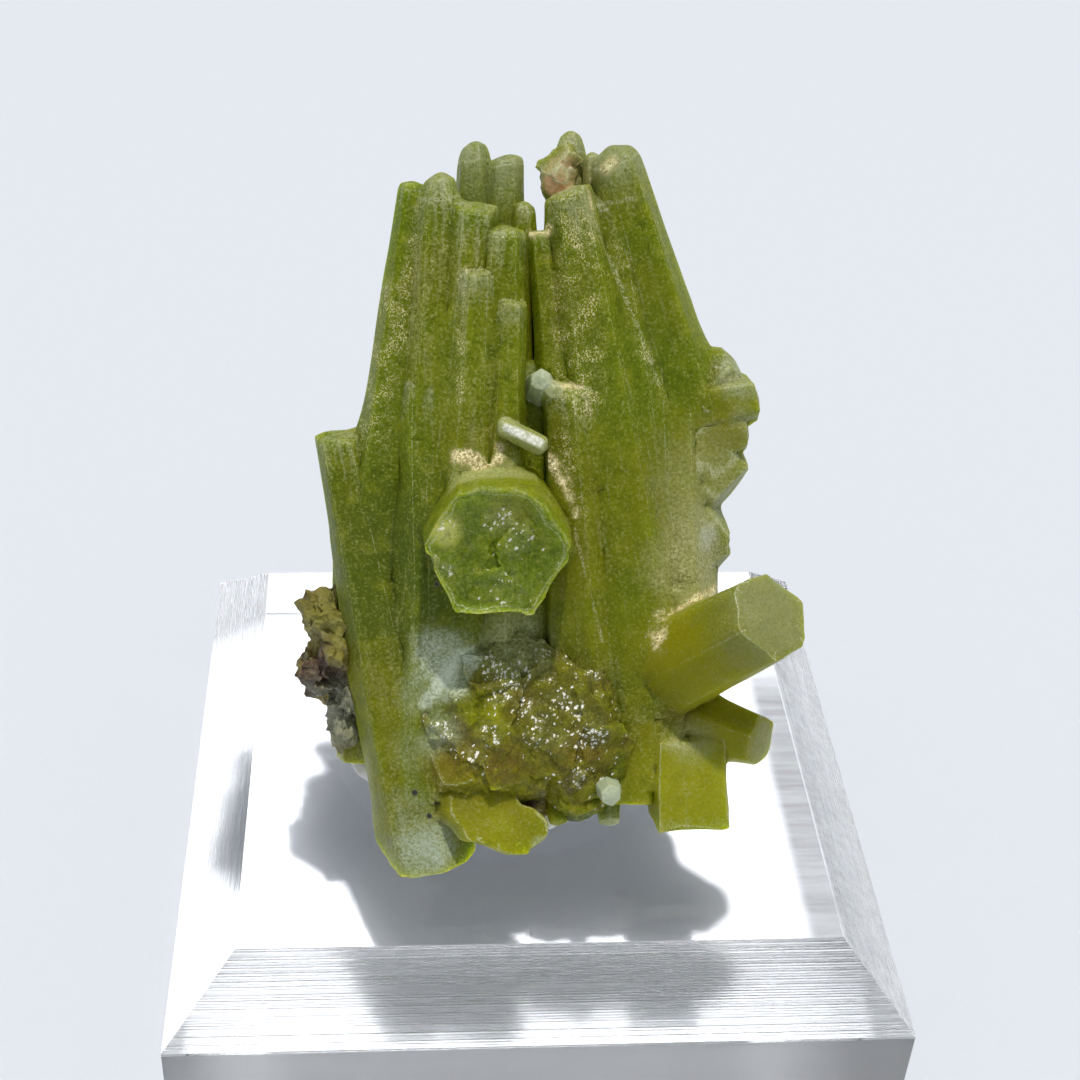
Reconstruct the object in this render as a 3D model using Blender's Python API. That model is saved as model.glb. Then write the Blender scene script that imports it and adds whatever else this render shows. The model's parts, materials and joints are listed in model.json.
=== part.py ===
"""Pyromorphite specimen: a crystal cluster with rock matrix, fixed with putty on a clear display block.

Blender 4.5. Metres, +Z up, origin at the middle of the block's underside.
The cluster is laid out in its own frame, which leans back from its foot: X across the front, Y into the
depth with 0 at the front, Z along the crystals.
"""

from math import radians

import bmesh
import bpy
from mathutils import Euler, Matrix, Vector, noise

MM = 0.001
OBJECT_NAME = "pyromorphite_specimen"

# Display block
BLOCK_SIDE = 30 * MM
BLOCK_HEIGHT = 10 * MM
BLOCK_BEVEL = 2.8 * MM

# Fit between pieces that touch
GAP = 0.3 * MM

# Cluster frame, and the level at which its underside is trimmed
LEAN = radians(26)
FOOT = Vector((0, -8.6, 10.5)) * MM
TRIM_LEVEL = BLOCK_HEIGHT + GAP

# Matrix and putty
ROCK_ROUGHNESS = 0.65 * MM
PUTTY = ((-1.5, -0.8, 10.9), (7.0, 5.8, 1.5))
PUTTY_ROUGHNESS = 0.5 * MM
PUTTY_GRAIN = 2.2 * MM

# Body of a crystal: where its width is set along the length, and how far it swells there
MIDDLE = 0.5
BARREL = 1.03

# Ends of a crystal: share of the length at which the shoulder starts, and share of the width left at the end
FLAT_END = (0.985, 0.90)
CUT_END = (0.97, 0.72)
ROUND_END = (0.93, 0.50)
POINT_END = (0.80, 0.22)

# Each crystal: root, tip, width across corners at the root and at the tip in mm, turn in degrees, end
LEFT_BUNDLE = {
    "left_outer_short": ((-4.4, 1.9, -0.4), (-8.15, 3.3, 17.6), 4.3, 2.4, 22, FLAT_END),
    "left_trunk": ((-3.5, 2.5, 2.9), (-4.3, 2.7, 20.0), 5.8, 3.6, 26, CUT_END),
    "left_edge_tall": ((-6.8, 3.2, 12.0), (-5.1, 2.5, 27.7), 3.2, 1.5, 24, CUT_END),
    "left_second": ((-4.8, 2.7, 6.0), (-4.1, 2.0, 28.0), 3.6, 2.0, 30, ROUND_END),
    "left_broad_flat": ((-3.9, 2.3, 7.5), (-2.75, 1.5, 26.9), 3.6, 2.2, 32, FLAT_END),
    "left_inner_step": ((-2.1, 2.1, 9.0), (-1.6, 1.2, 26.0), 3.0, 2.0, 30, CUT_END),
    "left_front_step": ((-3.3, 1.7, 9.0), (-2.6, 0.8, 24.4), 2.6, 1.7, 30, FLAT_END),
    "left_low_step": ((-1.8, 1.7, 9.5), (-1.3, 0.7, 23.3), 2.2, 1.4, 28, FLAT_END),
    "left_peak": ((-3.1, 3.6, 12.0), (-2.7, 3.3, 29.3), 2.8, 1.6, 18, ROUND_END),
    "left_peak_shoulder": ((-2.0, 3.2, 12.0), (-1.4, 2.9, 28.8), 2.9, 1.7, 24, CUT_END),
    "left_valley_nub": ((-1.2, 2.4, 20.0), (-0.7, 2.0, 27.0), 1.8, 1.1, 12, ROUND_END),
    "left_core": ((-3.6, 3.5, 6.0), (-3.3, 2.9, 25.6), 4.9, 3.2, 30, ROUND_END),
    "left_back_outer": ((-5.3, 4.9, 3.6), (-5.3, 5.0, 22.0), 4.4, 2.9, 20, FLAT_END),
    "left_back_inner": ((-2.4, 5.2, 3.8), (-2.9, 5.4, 25.4), 4.4, 2.2, 28, CUT_END),
    "left_back_short": ((-7.0, 4.8, 3.4), (-7.4, 5.2, 13.8), 3.0, 2.6, 14, FLAT_END),
}

RIGHT_BUNDLE = {
    "right_edge_tall": ((6.3, 3.3, 18.4), (2.7, 2.0, 29.1), 3.4, 2.4, 34, ROUND_END),
    "right_broad_front": ((4.5, 3.0, 6.4), (0.9, 1.75, 27.5), 6.4, 2.3, 36, FLAT_END),
    "right_slender_front": ((1.4, 1.6, 14.0), (-0.2, 1.7, 25.9), 2.0, 1.1, 30, FLAT_END),
    "right_trunk_front": ((2.7, 2.7, 5.0), (1.05, 1.0, 19.9), 4.9, 2.4, 2, CUT_END),
    "right_trunk": ((4.4, 2.8, 3.2), (4.3, 2.7, 24.6), 5.9, 2.0, 28, ROUND_END),
    "right_flank_wall": ((5.5, 2.7, 7.6), (5.5, 2.9, 22.6), 5.4, 2.0, 28, ROUND_END),
    "right_foot": ((3.7, 1.75, 2.5), (4.0, 2.7, 14.5), 3.7, 3.6, 28, CUT_END),
    "right_peak": ((2.7, 4.2, 9.0), (1.2, 3.6, 29.8), 3.6, 1.4, 20, ROUND_END),
    "right_core": ((3.4, 3.4, 6.0), (1.7, 2.9, 25.8), 5.8, 2.9, 30, ROUND_END),
    "middle_fill": ((-0.9, 3.3, 5.0), (-0.3, 2.4, 20.6), 4.2, 2.5, 30, ROUND_END),
    "right_inner_fill": ((5.0, 3.2, 11.0), (2.4, 2.5, 27.4), 4.8, 2.6, 26, ROUND_END),
    "right_small_peak": ((3.3, 3.4, 16.5), (2.0, 3.0, 29.0), 2.2, 1.0, 34, ROUND_END),
    "right_back_inner": ((2.8, 5.3, 3.6), (1.5, 5.2, 26.8), 4.8, 2.2, 24, CUT_END),
    "right_back_outer": ((5.8, 5.0, 4.4), (4.8, 4.9, 20.4), 4.4, 3.2, 32, FLAT_END),
    "middle_back": ((0.2, 4.8, 3.6), (-0.1, 4.6, 25.4), 4.0, 2.2, 16, FLAT_END),
}

BACK_GROWTHS = {
    "back_step_left": ((-3.9, 6.2, 5.6), (-4.1, 6.6, 17.4), 3.2, 2.4, 8, CUT_END),
    "back_step_middle": ((-0.7, 6.2, 6.0), (-0.8, 6.6, 21.0), 3.0, 1.8, 36, FLAT_END),
    "back_step_right": ((3.4, 6.6, 5.6), (3.2, 7.1, 14.6), 3.4, 2.8, 14, FLAT_END),
    "back_slant_right": ((4.8, 5.6, 8.0), (8.1, 6.9, 15.8), 2.6, 1.9, 20, CUT_END),
    "back_slant_left": ((-5.4, 5.4, 9.0), (-8.3, 6.9, 16.6), 2.4, 1.7, 32, ROUND_END),
    "back_stub": ((1.2, 6.0, 9.0), (1.9, 8.6, 11.8), 2.0, 1.6, 5, CUT_END),
}

RIGHT_FLANK = {
    "flank_druse_upper": ((6.0, 3.2, 19.4), (8.0, 3.1, 20.7), 2.7, 1.8, 10, CUT_END),
    "flank_druse_middle": ((6.0, 3.1, 18.7), (8.9, 3.0, 19.3), 3.0, 2.2, 25, CUT_END),
    "flank_druse_lower": ((6.2, 3.1, 17.6), (8.6, 2.9, 17.9), 2.8, 1.9, 40, CUT_END),
}

LOWER_PRISMS = {
    "prism_up_right": ((5.7, 1.5, 8.2), (8.9, -2.4, 11.2), 4.2, 4.0, 20, FLAT_END),
    "prism_down_right": ((5.4, 2.4, 6.1), (9.2, 0.4, 5.2), 3.0, 2.6, 10, FLAT_END),
    "foot_nub_olive": ((0.6, 2.0, 3.4), (0.9, 0.9, 1.6), 1.3, 0.9, 5, CUT_END),
    "foot_nub_grey": ((3.0, 2.2, 3.4), (3.1, 1.2, 1.5), 1.5, 1.1, 15, CUT_END),
    "pale_chip": ((2.8, 1.0, 3.4), (2.9, -0.7, 3.3), 1.3, 1.0, 12, CUT_END),
}

# Four-sided fragment, in the same terms
BLOCK_FRAGMENT = ((6.25, 1.6, 5.2), (6.4, 1.3, 1.8), 3.9, 4.7, 8, FLAT_END)

# The crystal that faces forward, and the stepped hollow in its end
HOPPER = ((-1.7, 2.6, 14.2), (-2.05, -2.2, 13.65), 5.9, 6.4, 26, (0.995, 0.98))
HOPPER_RIM = 0.4 * MM
HOPPER_DEPTH = 0.6 * MM
HOPPER_STEP = 0.88
HOPPER_FLOOR = 0.55

SMALL_GROWTHS = {
    "loose_prism": ((-1.2, 0.1, 18.12), (0.1, 0.0, 17.5), 0.85, 0.85, 10, POINT_END),
    "loose_prism_other_end": ((-0.5, 0.05, 17.8), (-1.8, 0.2, 18.4), 0.75, 0.88, 16, POINT_END),
    "pale_bud_left": ((-0.1, 1.8, 19.6), (-0.1, 0.4, 20.2), 1.4, 1.0, 0, ROUND_END),
    "pale_bud_right": ((0.5, 1.6, 19.4), (0.4, 0.3, 19.8), 1.2, 0.8, 30, ROUND_END),
}

# Lumps: subdivisions, then centre and radii in mm
LUMP_LEVELS = 3
FRACTURE_LEVELS = 4
FRACTURE_LUMPS = {
    "fracture_left": ((-1.5, 1.7, 5.9), (4.0, 2.3, 3.9)),
    "fracture_right": ((1.6, 1.7, 5.6), (2.4, 2.1, 3.9)),
    "lower_right_body": ((5.0, 2.9, 5.6), (2.5, 2.1, 3.0)),
}
PLAIN_LUMPS = {
    "olive_chunk": ((-3.2, 1.0, 4.2), (2.1, 1.4, 1.6)),
    "olive_lens": ((-2.5, 0.4, 2.6), (1.7, 1.1, 1.25)),
    "olive_lens_tip": ((-1.15, 0.0, 1.75), (1.5, 1.0, 0.95)),
    "flank_mass_upper": ((6.9, 3.0, 16.2), (1.9, 1.4, 2.3)),
    "flank_mass_lower": ((6.5, 2.8, 13.3), (1.7, 1.4, 2.2)),
    "flank_mass_druse": ((7.3, 3.0, 19.5), (1.3, 1.1, 1.6)),
    "stained_lump": ((0.9, 3.0, 28.2), (0.85, 0.8, 1.0)),
}
FRACTURE_ROUGHNESS = 0.4 * MM
FRACTURE_GRAIN = 1.6 * MM
PLAIN_ROUGHNESS = 0.15 * MM
PLAIN_GRAIN = 1.0 * MM
FINE_SHARE = 0.5
FINE_STEP = 2.3

ROCK_LUMPS = {
    "rock_left": ((-8.2, 4.2, 9.2), (1.3, 1.7, 2.1)),
    "rock_left_middle": ((-8.5, 4.4, 7.6), (1.4, 1.6, 1.2)),
    "rock_left_lower": ((-7.7, 4.3, 6.0), (1.0, 1.5, 2.1)),
    "rock_left_back": ((-6.0, 6.9, 7.0), (3.6, 2.3, 3.0)),
    "rock_middle_back": ((-1.6, 7.6, 8.8), (3.4, 2.3, 4.2)),
    "rock_middle_low": ((1.2, 8.2, 7.0), (3.4, 2.2, 2.4)),
    "rock_right_back": ((4.3, 7.2, 7.4), (2.8, 2.2, 2.6)),
    "rock_under": ((0.2, 4.3, 2.7), (3.8, 3.2, 1.5)),
    "rock_under_back": ((-0.6, 7.0, 5.0), (4.4, 2.4, 2.2)),
}
ROCK_GRAIN = 1.1 * MM

COLOURS = {
    "display_base": ((0.93, 0.95, 0.96, 1), 0.05),
    "mounting_putty": ((0.88, 0.87, 0.84, 1), 0.7),
    "gossan_matrix": ((0.20, 0.13, 0.06, 1), 0.8),
    "pyromorphite_cluster": ((0.20, 0.27, 0.06, 1), 0.35),
}


def clear_scene():
    """Remove every object of the scene."""
    for old in list(bpy.data.objects):
        bpy.data.objects.remove(old, do_unlink=True)


def new_collection(name):
    """Return a new collection under the scene's own."""
    made = bpy.data.collections.new(name)
    bpy.context.scene.collection.children.link(made)
    return made


def new_object(name, bm, where):
    """Turn a bmesh into an object of a collection, with its faces pointing out."""
    bmesh.ops.recalc_face_normals(bm, faces=bm.faces)
    mesh = bpy.data.meshes.new(name)
    bm.to_mesh(mesh)
    bm.free()
    made = bpy.data.objects.new(name, mesh)
    where.objects.link(made)
    return made


def make_helper(helper):
    """Keep an object that only takes part in Booleans out of the model."""
    helper.hide_render = True
    helper.display_type = "WIRE"


def show_as_part(target, name):
    """Make a helper into a sub-part of the model."""
    target.name = name
    target.data.name = name
    target.hide_render = False
    target.display_type = "TEXTURED"


def give_material(target):
    """Give a sub-part its own material."""
    colour, roughness = COLOURS[target.name]
    material = bpy.data.materials.new(target.name)
    material.use_nodes = True
    shader = material.node_tree.nodes["Principled BSDF"]
    shader.inputs["Base Color"].default_value = colour
    shader.inputs["Roughness"].default_value = roughness
    target.data.materials.append(material)


def combine(target, others, operation):
    """Join a collection to the target, or cut it away."""
    step = target.modifiers.new(operation.lower(), "BOOLEAN")
    step.operation = operation
    step.operand_type = "COLLECTION"
    step.collection = others
    step.solver = "EXACT"


def build_trimmer():
    """A slab that takes off whatever reaches below the trimmed underside."""
    cutters = new_collection("cutters")
    bm = bmesh.new()
    bmesh.ops.create_cube(
        bm, size=1,
        matrix=Matrix.Translation((0, 0, TRIM_LEVEL - BLOCK_HEIGHT / 2))
        @ Matrix.Diagonal((BLOCK_SIDE, BLOCK_SIDE, BLOCK_HEIGHT, 1)),
    )
    make_helper(new_object("trimmer", bm, cutters))
    return cutters


def grow_end(bm, end, rise, width_share):
    """Extrude the end face along Z, scale it, and return the new end face."""
    made = bmesh.ops.extrude_face_region(bm, geom=[end])["geom"]
    face = next(item for item in made if isinstance(item, bmesh.types.BMFace))
    bm.faces.remove(end)
    for vert in face.verts:
        vert.co.x *= width_share
        vert.co.y *= width_share
        vert.co.z += rise
    return face


def crystal_bmesh(length, root_width, tip_width, end_shape, sides=6):
    """A crystal along Z with a barrelled body, a shoulder and a narrower end face."""
    shoulder, end_share = end_shape
    middle_width = BARREL * (root_width + tip_width) / 2
    bm = bmesh.new()
    bmesh.ops.create_cone(
        bm, cap_ends=True, segments=sides, radius1=root_width / 2, radius2=middle_width / 2,
        depth=MIDDLE * length, matrix=Matrix.Translation((0, 0, MIDDLE * length / 2)),
    )
    end = max(bm.faces, key=lambda face: face.calc_center_median().z)
    end = grow_end(bm, end, (shoulder - MIDDLE) * length, tip_width / middle_width)
    end = grow_end(bm, end, (1 - shoulder) * length, end_share)
    return bm, end


def place_along(made, root, tip, turn):
    """Stand a piece built along Z on its root, pointing at its tip and turned about its own axis."""
    direction = (tip - root).normalized()
    aim = Vector((0, 0, 1)).rotation_difference(direction)
    made.rotation_mode = "QUATERNION"
    made.rotation_quaternion = aim @ Euler((0, 0, turn)).to_quaternion()
    made.location = root


def add_crystal(name, shape, where, frame, spare=0.0, sides=6):
    """Add one crystal. Spare makes it larger on every side, to cut its own clearance."""
    root, tip, root_width, tip_width, turn, end_shape = shape
    root = Vector(root) * MM
    tip = Vector(tip) * MM
    along = (tip - root).normalized() * spare
    root, tip = root - along, tip + along
    widths = root_width * MM + 2 * spare, tip_width * MM + 2 * spare
    bm, _ = crystal_bmesh((tip - root).length, *widths, end_shape, sides)
    made = new_object(name, bm, where)
    place_along(made, root, tip, radians(turn))
    made.parent = frame
    make_helper(made)
    return made


def add_hopper(where, frame):
    """Add the crystal that faces forward, with the stepped hollow of its hopper-shaped end."""
    root, tip, root_width, tip_width, turn, end_shape = HOPPER
    root = Vector(root) * MM
    tip = Vector(tip) * MM
    bm, end = crystal_bmesh((tip - root).length, root_width * MM, tip_width * MM, end_shape)
    bmesh.ops.inset_region(bm, faces=[end], thickness=HOPPER_RIM, depth=0)
    end = grow_end(bm, end, -HOPPER_DEPTH / 2, HOPPER_STEP)
    grow_end(bm, end, -HOPPER_DEPTH / 2, HOPPER_FLOOR / HOPPER_STEP)
    made = new_object("hopper_crystal", bm, where)
    place_along(made, root, tip, radians(turn))
    made.parent = frame
    make_helper(made)


def lump_bmesh(centre, radii, roughness, grain, levels, spare):
    """A rough rounded lump: a sphere stretched to its radii, with its surface moved in and out by noise."""
    bm = bmesh.new()
    bmesh.ops.create_icosphere(bm, subdivisions=levels, radius=1)
    for vert in bm.verts:
        way = vert.co.normalized()
        point = Vector((way.x * radii.x, way.y * radii.y, way.z * radii.z))
        place = (centre + point) / grain
        rough = noise.noise(place) + FINE_SHARE * noise.noise(FINE_STEP * place)
        vert.co = point + way * (roughness * rough + spare)
    return bm


def add_lump(name, shape, where, frame, roughness, grain, levels=LUMP_LEVELS, spare=0.0):
    """Add one lump at its place. Spare makes it larger on every side, to cut its own clearance."""
    centre, radii = (Vector(values) * MM for values in shape)
    made = new_object(name, lump_bmesh(centre, radii, roughness, grain, levels, spare), where)
    made.location = centre
    made.parent = frame
    make_helper(made)
    return made


def add_growths(where, frame, spare=0.0):
    """Add every growth of the cluster but the hopper crystal to a collection."""
    groups = (LEFT_BUNDLE, RIGHT_BUNDLE, BACK_GROWTHS, RIGHT_FLANK, LOWER_PRISMS, SMALL_GROWTHS)
    for group in groups:
        for name, shape in group.items():
            add_crystal(name, shape, where, frame, spare)
    add_crystal("block_fragment", BLOCK_FRAGMENT, where, frame, spare, sides=4)
    for name, shape in FRACTURE_LUMPS.items():
        add_lump(name, shape, where, frame, FRACTURE_ROUGHNESS, FRACTURE_GRAIN, FRACTURE_LEVELS, spare)
    for name, shape in PLAIN_LUMPS.items():
        add_lump(name, shape, where, frame, PLAIN_ROUGHNESS, PLAIN_GRAIN, spare=spare)


def build_block(parts):
    """The clear block, with its four top edges milled off at 45 degrees."""
    bm = bmesh.new()
    bmesh.ops.create_cube(
        bm, size=1,
        matrix=Matrix.Translation((0, 0, BLOCK_HEIGHT / 2))
        @ Matrix.Diagonal((BLOCK_SIDE, BLOCK_SIDE, BLOCK_HEIGHT, 1)),
    )
    top_edges = [edge for edge in bm.edges if all(vert.co.z > BLOCK_HEIGHT / 2 for vert in edge.verts)]
    bmesh.ops.bevel(bm, geom=top_edges, offset=BLOCK_BEVEL, segments=1, affect="EDGES")
    block = new_object("display_base", bm, parts)
    give_material(block)


def build_cluster(parts, growths, frame, trimmers):
    """The crystals, joined into one solid and trimmed off below."""
    add_growths(growths, frame)
    add_hopper(growths, frame)
    cluster = growths.objects["left_trunk"]
    growths.objects.unlink(cluster)
    parts.objects.link(cluster)
    show_as_part(cluster, "pyromorphite_cluster")
    combine(cluster, growths, "UNION")
    combine(cluster, trimmers, "DIFFERENCE")
    give_material(cluster)


def build_clearances(frame):
    """The space that the cluster and the rock need: each growth again, larger by the gap."""
    around_cluster = new_collection("cluster_clearance")
    add_growths(around_cluster, frame, GAP)
    around_rock = new_collection("rock_clearance")
    for name, shape in ROCK_LUMPS.items():
        add_lump(name, shape, around_rock, frame, ROCK_ROUGHNESS, ROCK_GRAIN, spare=GAP)
    return around_cluster, around_rock


def build_matrix(parts, frame, clearance, trimmers):
    """The stained rock behind and under the crystals, with the room that they take cut out of it."""
    lumps = new_collection("rock_lumps")
    first, *others = ROCK_LUMPS
    rock = add_lump(first, ROCK_LUMPS[first], parts, frame, ROCK_ROUGHNESS, ROCK_GRAIN)
    show_as_part(rock, "gossan_matrix")
    for name in others:
        add_lump(name, ROCK_LUMPS[name], lumps, frame, ROCK_ROUGHNESS, ROCK_GRAIN)
    combine(rock, lumps, "UNION")
    combine(rock, clearance, "DIFFERENCE")
    combine(rock, trimmers, "DIFFERENCE")
    give_material(rock)


def build_putty(parts, clearances, trimmers):
    """The pad of putty on the block, pressed to the shape of what stands in it."""
    putty = add_lump("mounting_putty", PUTTY, parts, None, PUTTY_ROUGHNESS, PUTTY_GRAIN)
    show_as_part(putty, "mounting_putty")
    for clearance in clearances:
        combine(putty, clearance, "DIFFERENCE")
    combine(putty, trimmers, "DIFFERENCE")
    give_material(putty)


def main():
    """Build every sub-part."""
    clear_scene()
    parts = new_collection(OBJECT_NAME)
    growths = new_collection("joined_growths")
    frame = bpy.data.objects.new("cluster_frame", None)
    frame.location = FOOT
    frame.rotation_euler = (-LEAN, 0, 0)
    parts.objects.link(frame)
    build_block(parts)
    trimmers = build_trimmer()
    build_cluster(parts, growths, frame, trimmers)
    around_cluster, around_rock = build_clearances(frame)
    build_matrix(parts, frame, around_cluster, trimmers)
    build_putty(parts, (around_cluster, around_rock), trimmers)


main()
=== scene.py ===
"""Looks of a pyromorphite specimen: green crystals and stained rock, in putty on a clear block.

Written for Blender 4.5 and run as a script. Lengths of the crystals are in millimetres in the cluster's own
frame, which leans back from its foot: X across the front, Y into the depth, Z along the crystals.
"""

import json
from functools import reduce
from math import cos, pi, radians, sin

import bmesh
import bpy
import numpy as np
from bpy.props import FloatProperty, FloatVectorProperty, IntProperty, PointerProperty
from mathutils import Euler, Matrix, Vector, noise
from mathutils.bvhtree import BVHTree

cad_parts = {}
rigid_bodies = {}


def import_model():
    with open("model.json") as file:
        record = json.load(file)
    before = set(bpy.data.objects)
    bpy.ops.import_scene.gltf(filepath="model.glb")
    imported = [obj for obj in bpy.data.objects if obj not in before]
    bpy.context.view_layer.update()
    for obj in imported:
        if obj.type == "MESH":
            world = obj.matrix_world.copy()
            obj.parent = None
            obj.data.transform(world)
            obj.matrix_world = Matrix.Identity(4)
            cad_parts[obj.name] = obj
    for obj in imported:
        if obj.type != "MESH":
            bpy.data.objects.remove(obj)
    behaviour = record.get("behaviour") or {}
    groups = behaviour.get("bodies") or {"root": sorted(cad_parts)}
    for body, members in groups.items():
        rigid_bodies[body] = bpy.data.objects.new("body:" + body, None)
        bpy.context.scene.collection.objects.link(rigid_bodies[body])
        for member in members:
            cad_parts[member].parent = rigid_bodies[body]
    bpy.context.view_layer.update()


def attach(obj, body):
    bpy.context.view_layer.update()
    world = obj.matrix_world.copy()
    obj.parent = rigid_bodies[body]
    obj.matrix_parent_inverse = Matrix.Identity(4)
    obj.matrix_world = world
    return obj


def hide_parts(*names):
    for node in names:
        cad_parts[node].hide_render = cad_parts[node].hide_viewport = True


bl_info = {
    "name": "Pyromorphite Specimen",
    "version": (1, 0, 0),
    "blender": (4, 5, 0),
    "location": "View3D > Sidebar > Specimen",
    "description": "Grows the crystals, rock and putty of a small mineral specimen on its clear block",
    "category": "Add Mesh",
}

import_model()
BODY = "root"
MM = 0.001
# Heights in metres of the undersides that rest on the block, and of the floor below it
CLUSTER_FOOT = 0.01004
PUTTY_FOOT = 0.01003
FLOOR_LEVEL = -0.00005
# Below this height, in metres, the grooves between crystals stay as they are
KEPT_FOOT = 0.0103

# Body and ends of a crystal, as in the solid part
MIDDLE = 0.5
BARREL = 1.03
FLAT_END = (0.985, 0.90)
CUT_END = (0.97, 0.72)
ROUND_END = (0.93, 0.50)
POINT_END = (0.80, 0.22)
FADE_END = (0.50, 0.25)

# Each crystal: root, tip, width across corners at the root and at the tip in mm, turn in degrees, end,
# then how olive and how pale it is, from 0 to 1
LEFT_BUNDLE = {
    "left_outer_short": ((-4.4, 1.9, -0.4), (-8.15, 3.3, 17.6), 4.3, 2.4, 22, FLAT_END, 0.45, 0.25),
    "left_trunk": ((-3.5, 2.5, 2.9), (-4.3, 2.7, 20.0), 5.8, 3.6, 26, CUT_END, 0.1, 0.3),
    "left_edge_tall": ((-6.8, 3.2, 12.0), (-5.1, 2.5, 27.7), 3.2, 1.5, 24, CUT_END, 0.1, 0.15),
    "left_second": ((-4.8, 2.7, 6.0), (-4.1, 2.0, 28.0), 3.6, 2.0, 30, ROUND_END, 0.3, 0.5),
    "left_broad_flat": ((-3.9, 2.3, 7.5), (-2.75, 1.5, 26.9), 3.6, 2.2, 32, FLAT_END, 0.3, 0.3),
    "left_inner_step": ((-2.1, 2.1, 9.0), (-1.6, 1.2, 26.0), 3.0, 2.0, 30, CUT_END, 0.3, 0.2),
    "left_front_step": ((-3.3, 1.7, 9.0), (-2.6, 0.8, 24.4), 2.6, 1.7, 30, FLAT_END, 0.35, 0.3),
    "left_low_step": ((-1.8, 1.7, 9.5), (-1.3, 0.7, 23.3), 2.2, 1.4, 28, FLAT_END, 0.35, 0.15),
    "left_peak": ((-3.1, 3.6, 12.0), (-2.7, 3.3, 29.3), 2.8, 1.6, 18, ROUND_END, 0.2, 0.3),
    "left_peak_shoulder": ((-2.0, 3.2, 12.0), (-1.4, 2.9, 28.8), 2.9, 1.7, 24, CUT_END, 0.25, 0.3),
    "left_valley_nub": ((-1.2, 2.4, 20.0), (-0.7, 2.0, 27.0), 1.8, 1.1, 12, ROUND_END, 0.5, 0.4),
    "left_core": ((-3.6, 3.5, 6.0), (-3.3, 2.9, 25.6), 4.9, 3.2, 30, ROUND_END, 0.2, 0.0),
    "left_back_outer": ((-5.3, 4.9, 3.6), (-5.3, 5.0, 22.0), 4.4, 2.9, 20, FLAT_END, 0.2, 0.3),
    "left_back_inner": ((-2.4, 5.2, 3.8), (-2.9, 5.4, 25.4), 4.4, 2.2, 28, CUT_END, 0.3, 0.3),
    "left_back_short": ((-7.0, 4.8, 3.4), (-7.4, 5.2, 13.8), 3.0, 2.6, 14, FLAT_END, 0.5, 0.3),
}

RIGHT_BUNDLE = {
    "right_edge_tall": ((6.3, 3.3, 18.4), (2.7, 2.0, 29.1), 3.4, 2.4, 34, ROUND_END, 0.25, 0.25),
    "right_broad_front": ((4.5, 3.0, 6.4), (0.9, 1.75, 27.5), 6.4, 2.3, 36, FLAT_END, 0.3, 0.2),
    "right_slender_front": ((1.4, 1.6, 14.0), (-0.2, 1.7, 25.9), 2.0, 1.1, 30, FLAT_END, 0.35, 0.2),
    "right_trunk_front": ((2.7, 2.7, 5.0), (1.05, 1.0, 19.9), 4.9, 2.4, 2, CUT_END, 0.5, 0.2),
    "right_trunk": ((4.4, 2.8, 3.2), (4.3, 2.7, 24.6), 5.9, 2.0, 28, ROUND_END, 0.5, 0.15),
    "right_flank_wall": ((5.5, 2.7, 7.6), (5.5, 2.9, 22.6), 5.4, 2.0, 28, ROUND_END, 0.5, 0.2),
    "right_peak": ((2.7, 4.2, 9.0), (1.2, 3.6, 29.8), 3.6, 1.4, 20, ROUND_END, 0.45, 0.35),
    "right_foot": ((3.7, 1.75, 2.5), (4.0, 2.7, 14.5), 3.7, 3.6, 28, CUT_END, 0.7, 0.15),
    "right_core": ((3.4, 3.4, 6.0), (1.7, 2.9, 25.8), 5.8, 2.9, 30, ROUND_END, 0.25, 0.0),
    "middle_fill": ((-0.9, 3.3, 5.0), (-0.3, 2.4, 20.6), 4.2, 2.5, 30, ROUND_END, 0.1, 0.0),
    "right_inner_fill": ((5.0, 3.2, 11.0), (2.4, 2.5, 27.4), 4.8, 2.6, 26, ROUND_END, 0.3, 0.2),
    "right_small_peak": ((3.3, 3.4, 16.5), (2.0, 3.0, 29.0), 2.2, 1.0, 34, ROUND_END, 0.5, 0.3),
    "right_back_inner": ((2.8, 5.3, 3.6), (1.5, 5.2, 26.8), 4.8, 2.2, 24, CUT_END, 0.3, 0.3),
    "right_back_outer": ((5.8, 5.0, 4.4), (4.8, 4.9, 20.4), 4.4, 3.2, 32, FLAT_END, 0.4, 0.3),
    "middle_back": ((0.2, 4.8, 3.6), (-0.1, 4.6, 25.4), 4.0, 2.2, 16, FLAT_END, 0.3, 0.25),
}

# Thinner crystals along a large one: how many, and how far out they reach as a share of its radius
BY_SIDE = {"left": (4, 1.03), "right": (2, 0.99), "middle": (3, 1.02), "back": (2, 1.0), "flank": (2, 1.03)}

# Crystals with a painted highlight along every edge, and those with one round the end only
OUTLINED = ("hopper_crystal", "block_fragment", "loose_prism")
CROWNED = ("prism_up_right", "prism_down_right")

# Crystals that have no thinner ones along them
SINGLE = ("left_outer_short", "left_core", "right_core", "middle_fill", "right_edge_tall")

BACK_GROWTHS = {
    "back_step_left": ((-3.9, 6.2, 5.6), (-4.1, 6.6, 17.4), 3.2, 2.4, 8, CUT_END, 0.3, 0.3),
    "back_step_middle": ((-0.7, 6.2, 6.0), (-0.8, 6.6, 21.0), 3.0, 1.8, 36, FLAT_END, 0.2, 0.2),
    "back_step_right": ((3.4, 6.6, 5.6), (3.2, 7.1, 14.6), 3.4, 2.8, 14, FLAT_END, 0.5, 0.3),
    "back_slant_right": ((4.8, 5.6, 8.0), (8.1, 6.9, 15.8), 2.6, 1.9, 20, CUT_END, 0.5, 0.3),
    "back_slant_left": ((-5.4, 5.4, 9.0), (-8.3, 6.9, 16.6), 2.4, 1.7, 32, ROUND_END, 0.4, 0.4),
    "back_stub": ((1.2, 6.0, 9.0), (1.9, 8.6, 11.8), 2.0, 1.6, 5, CUT_END, 0.6, 0.2),
}

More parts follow.
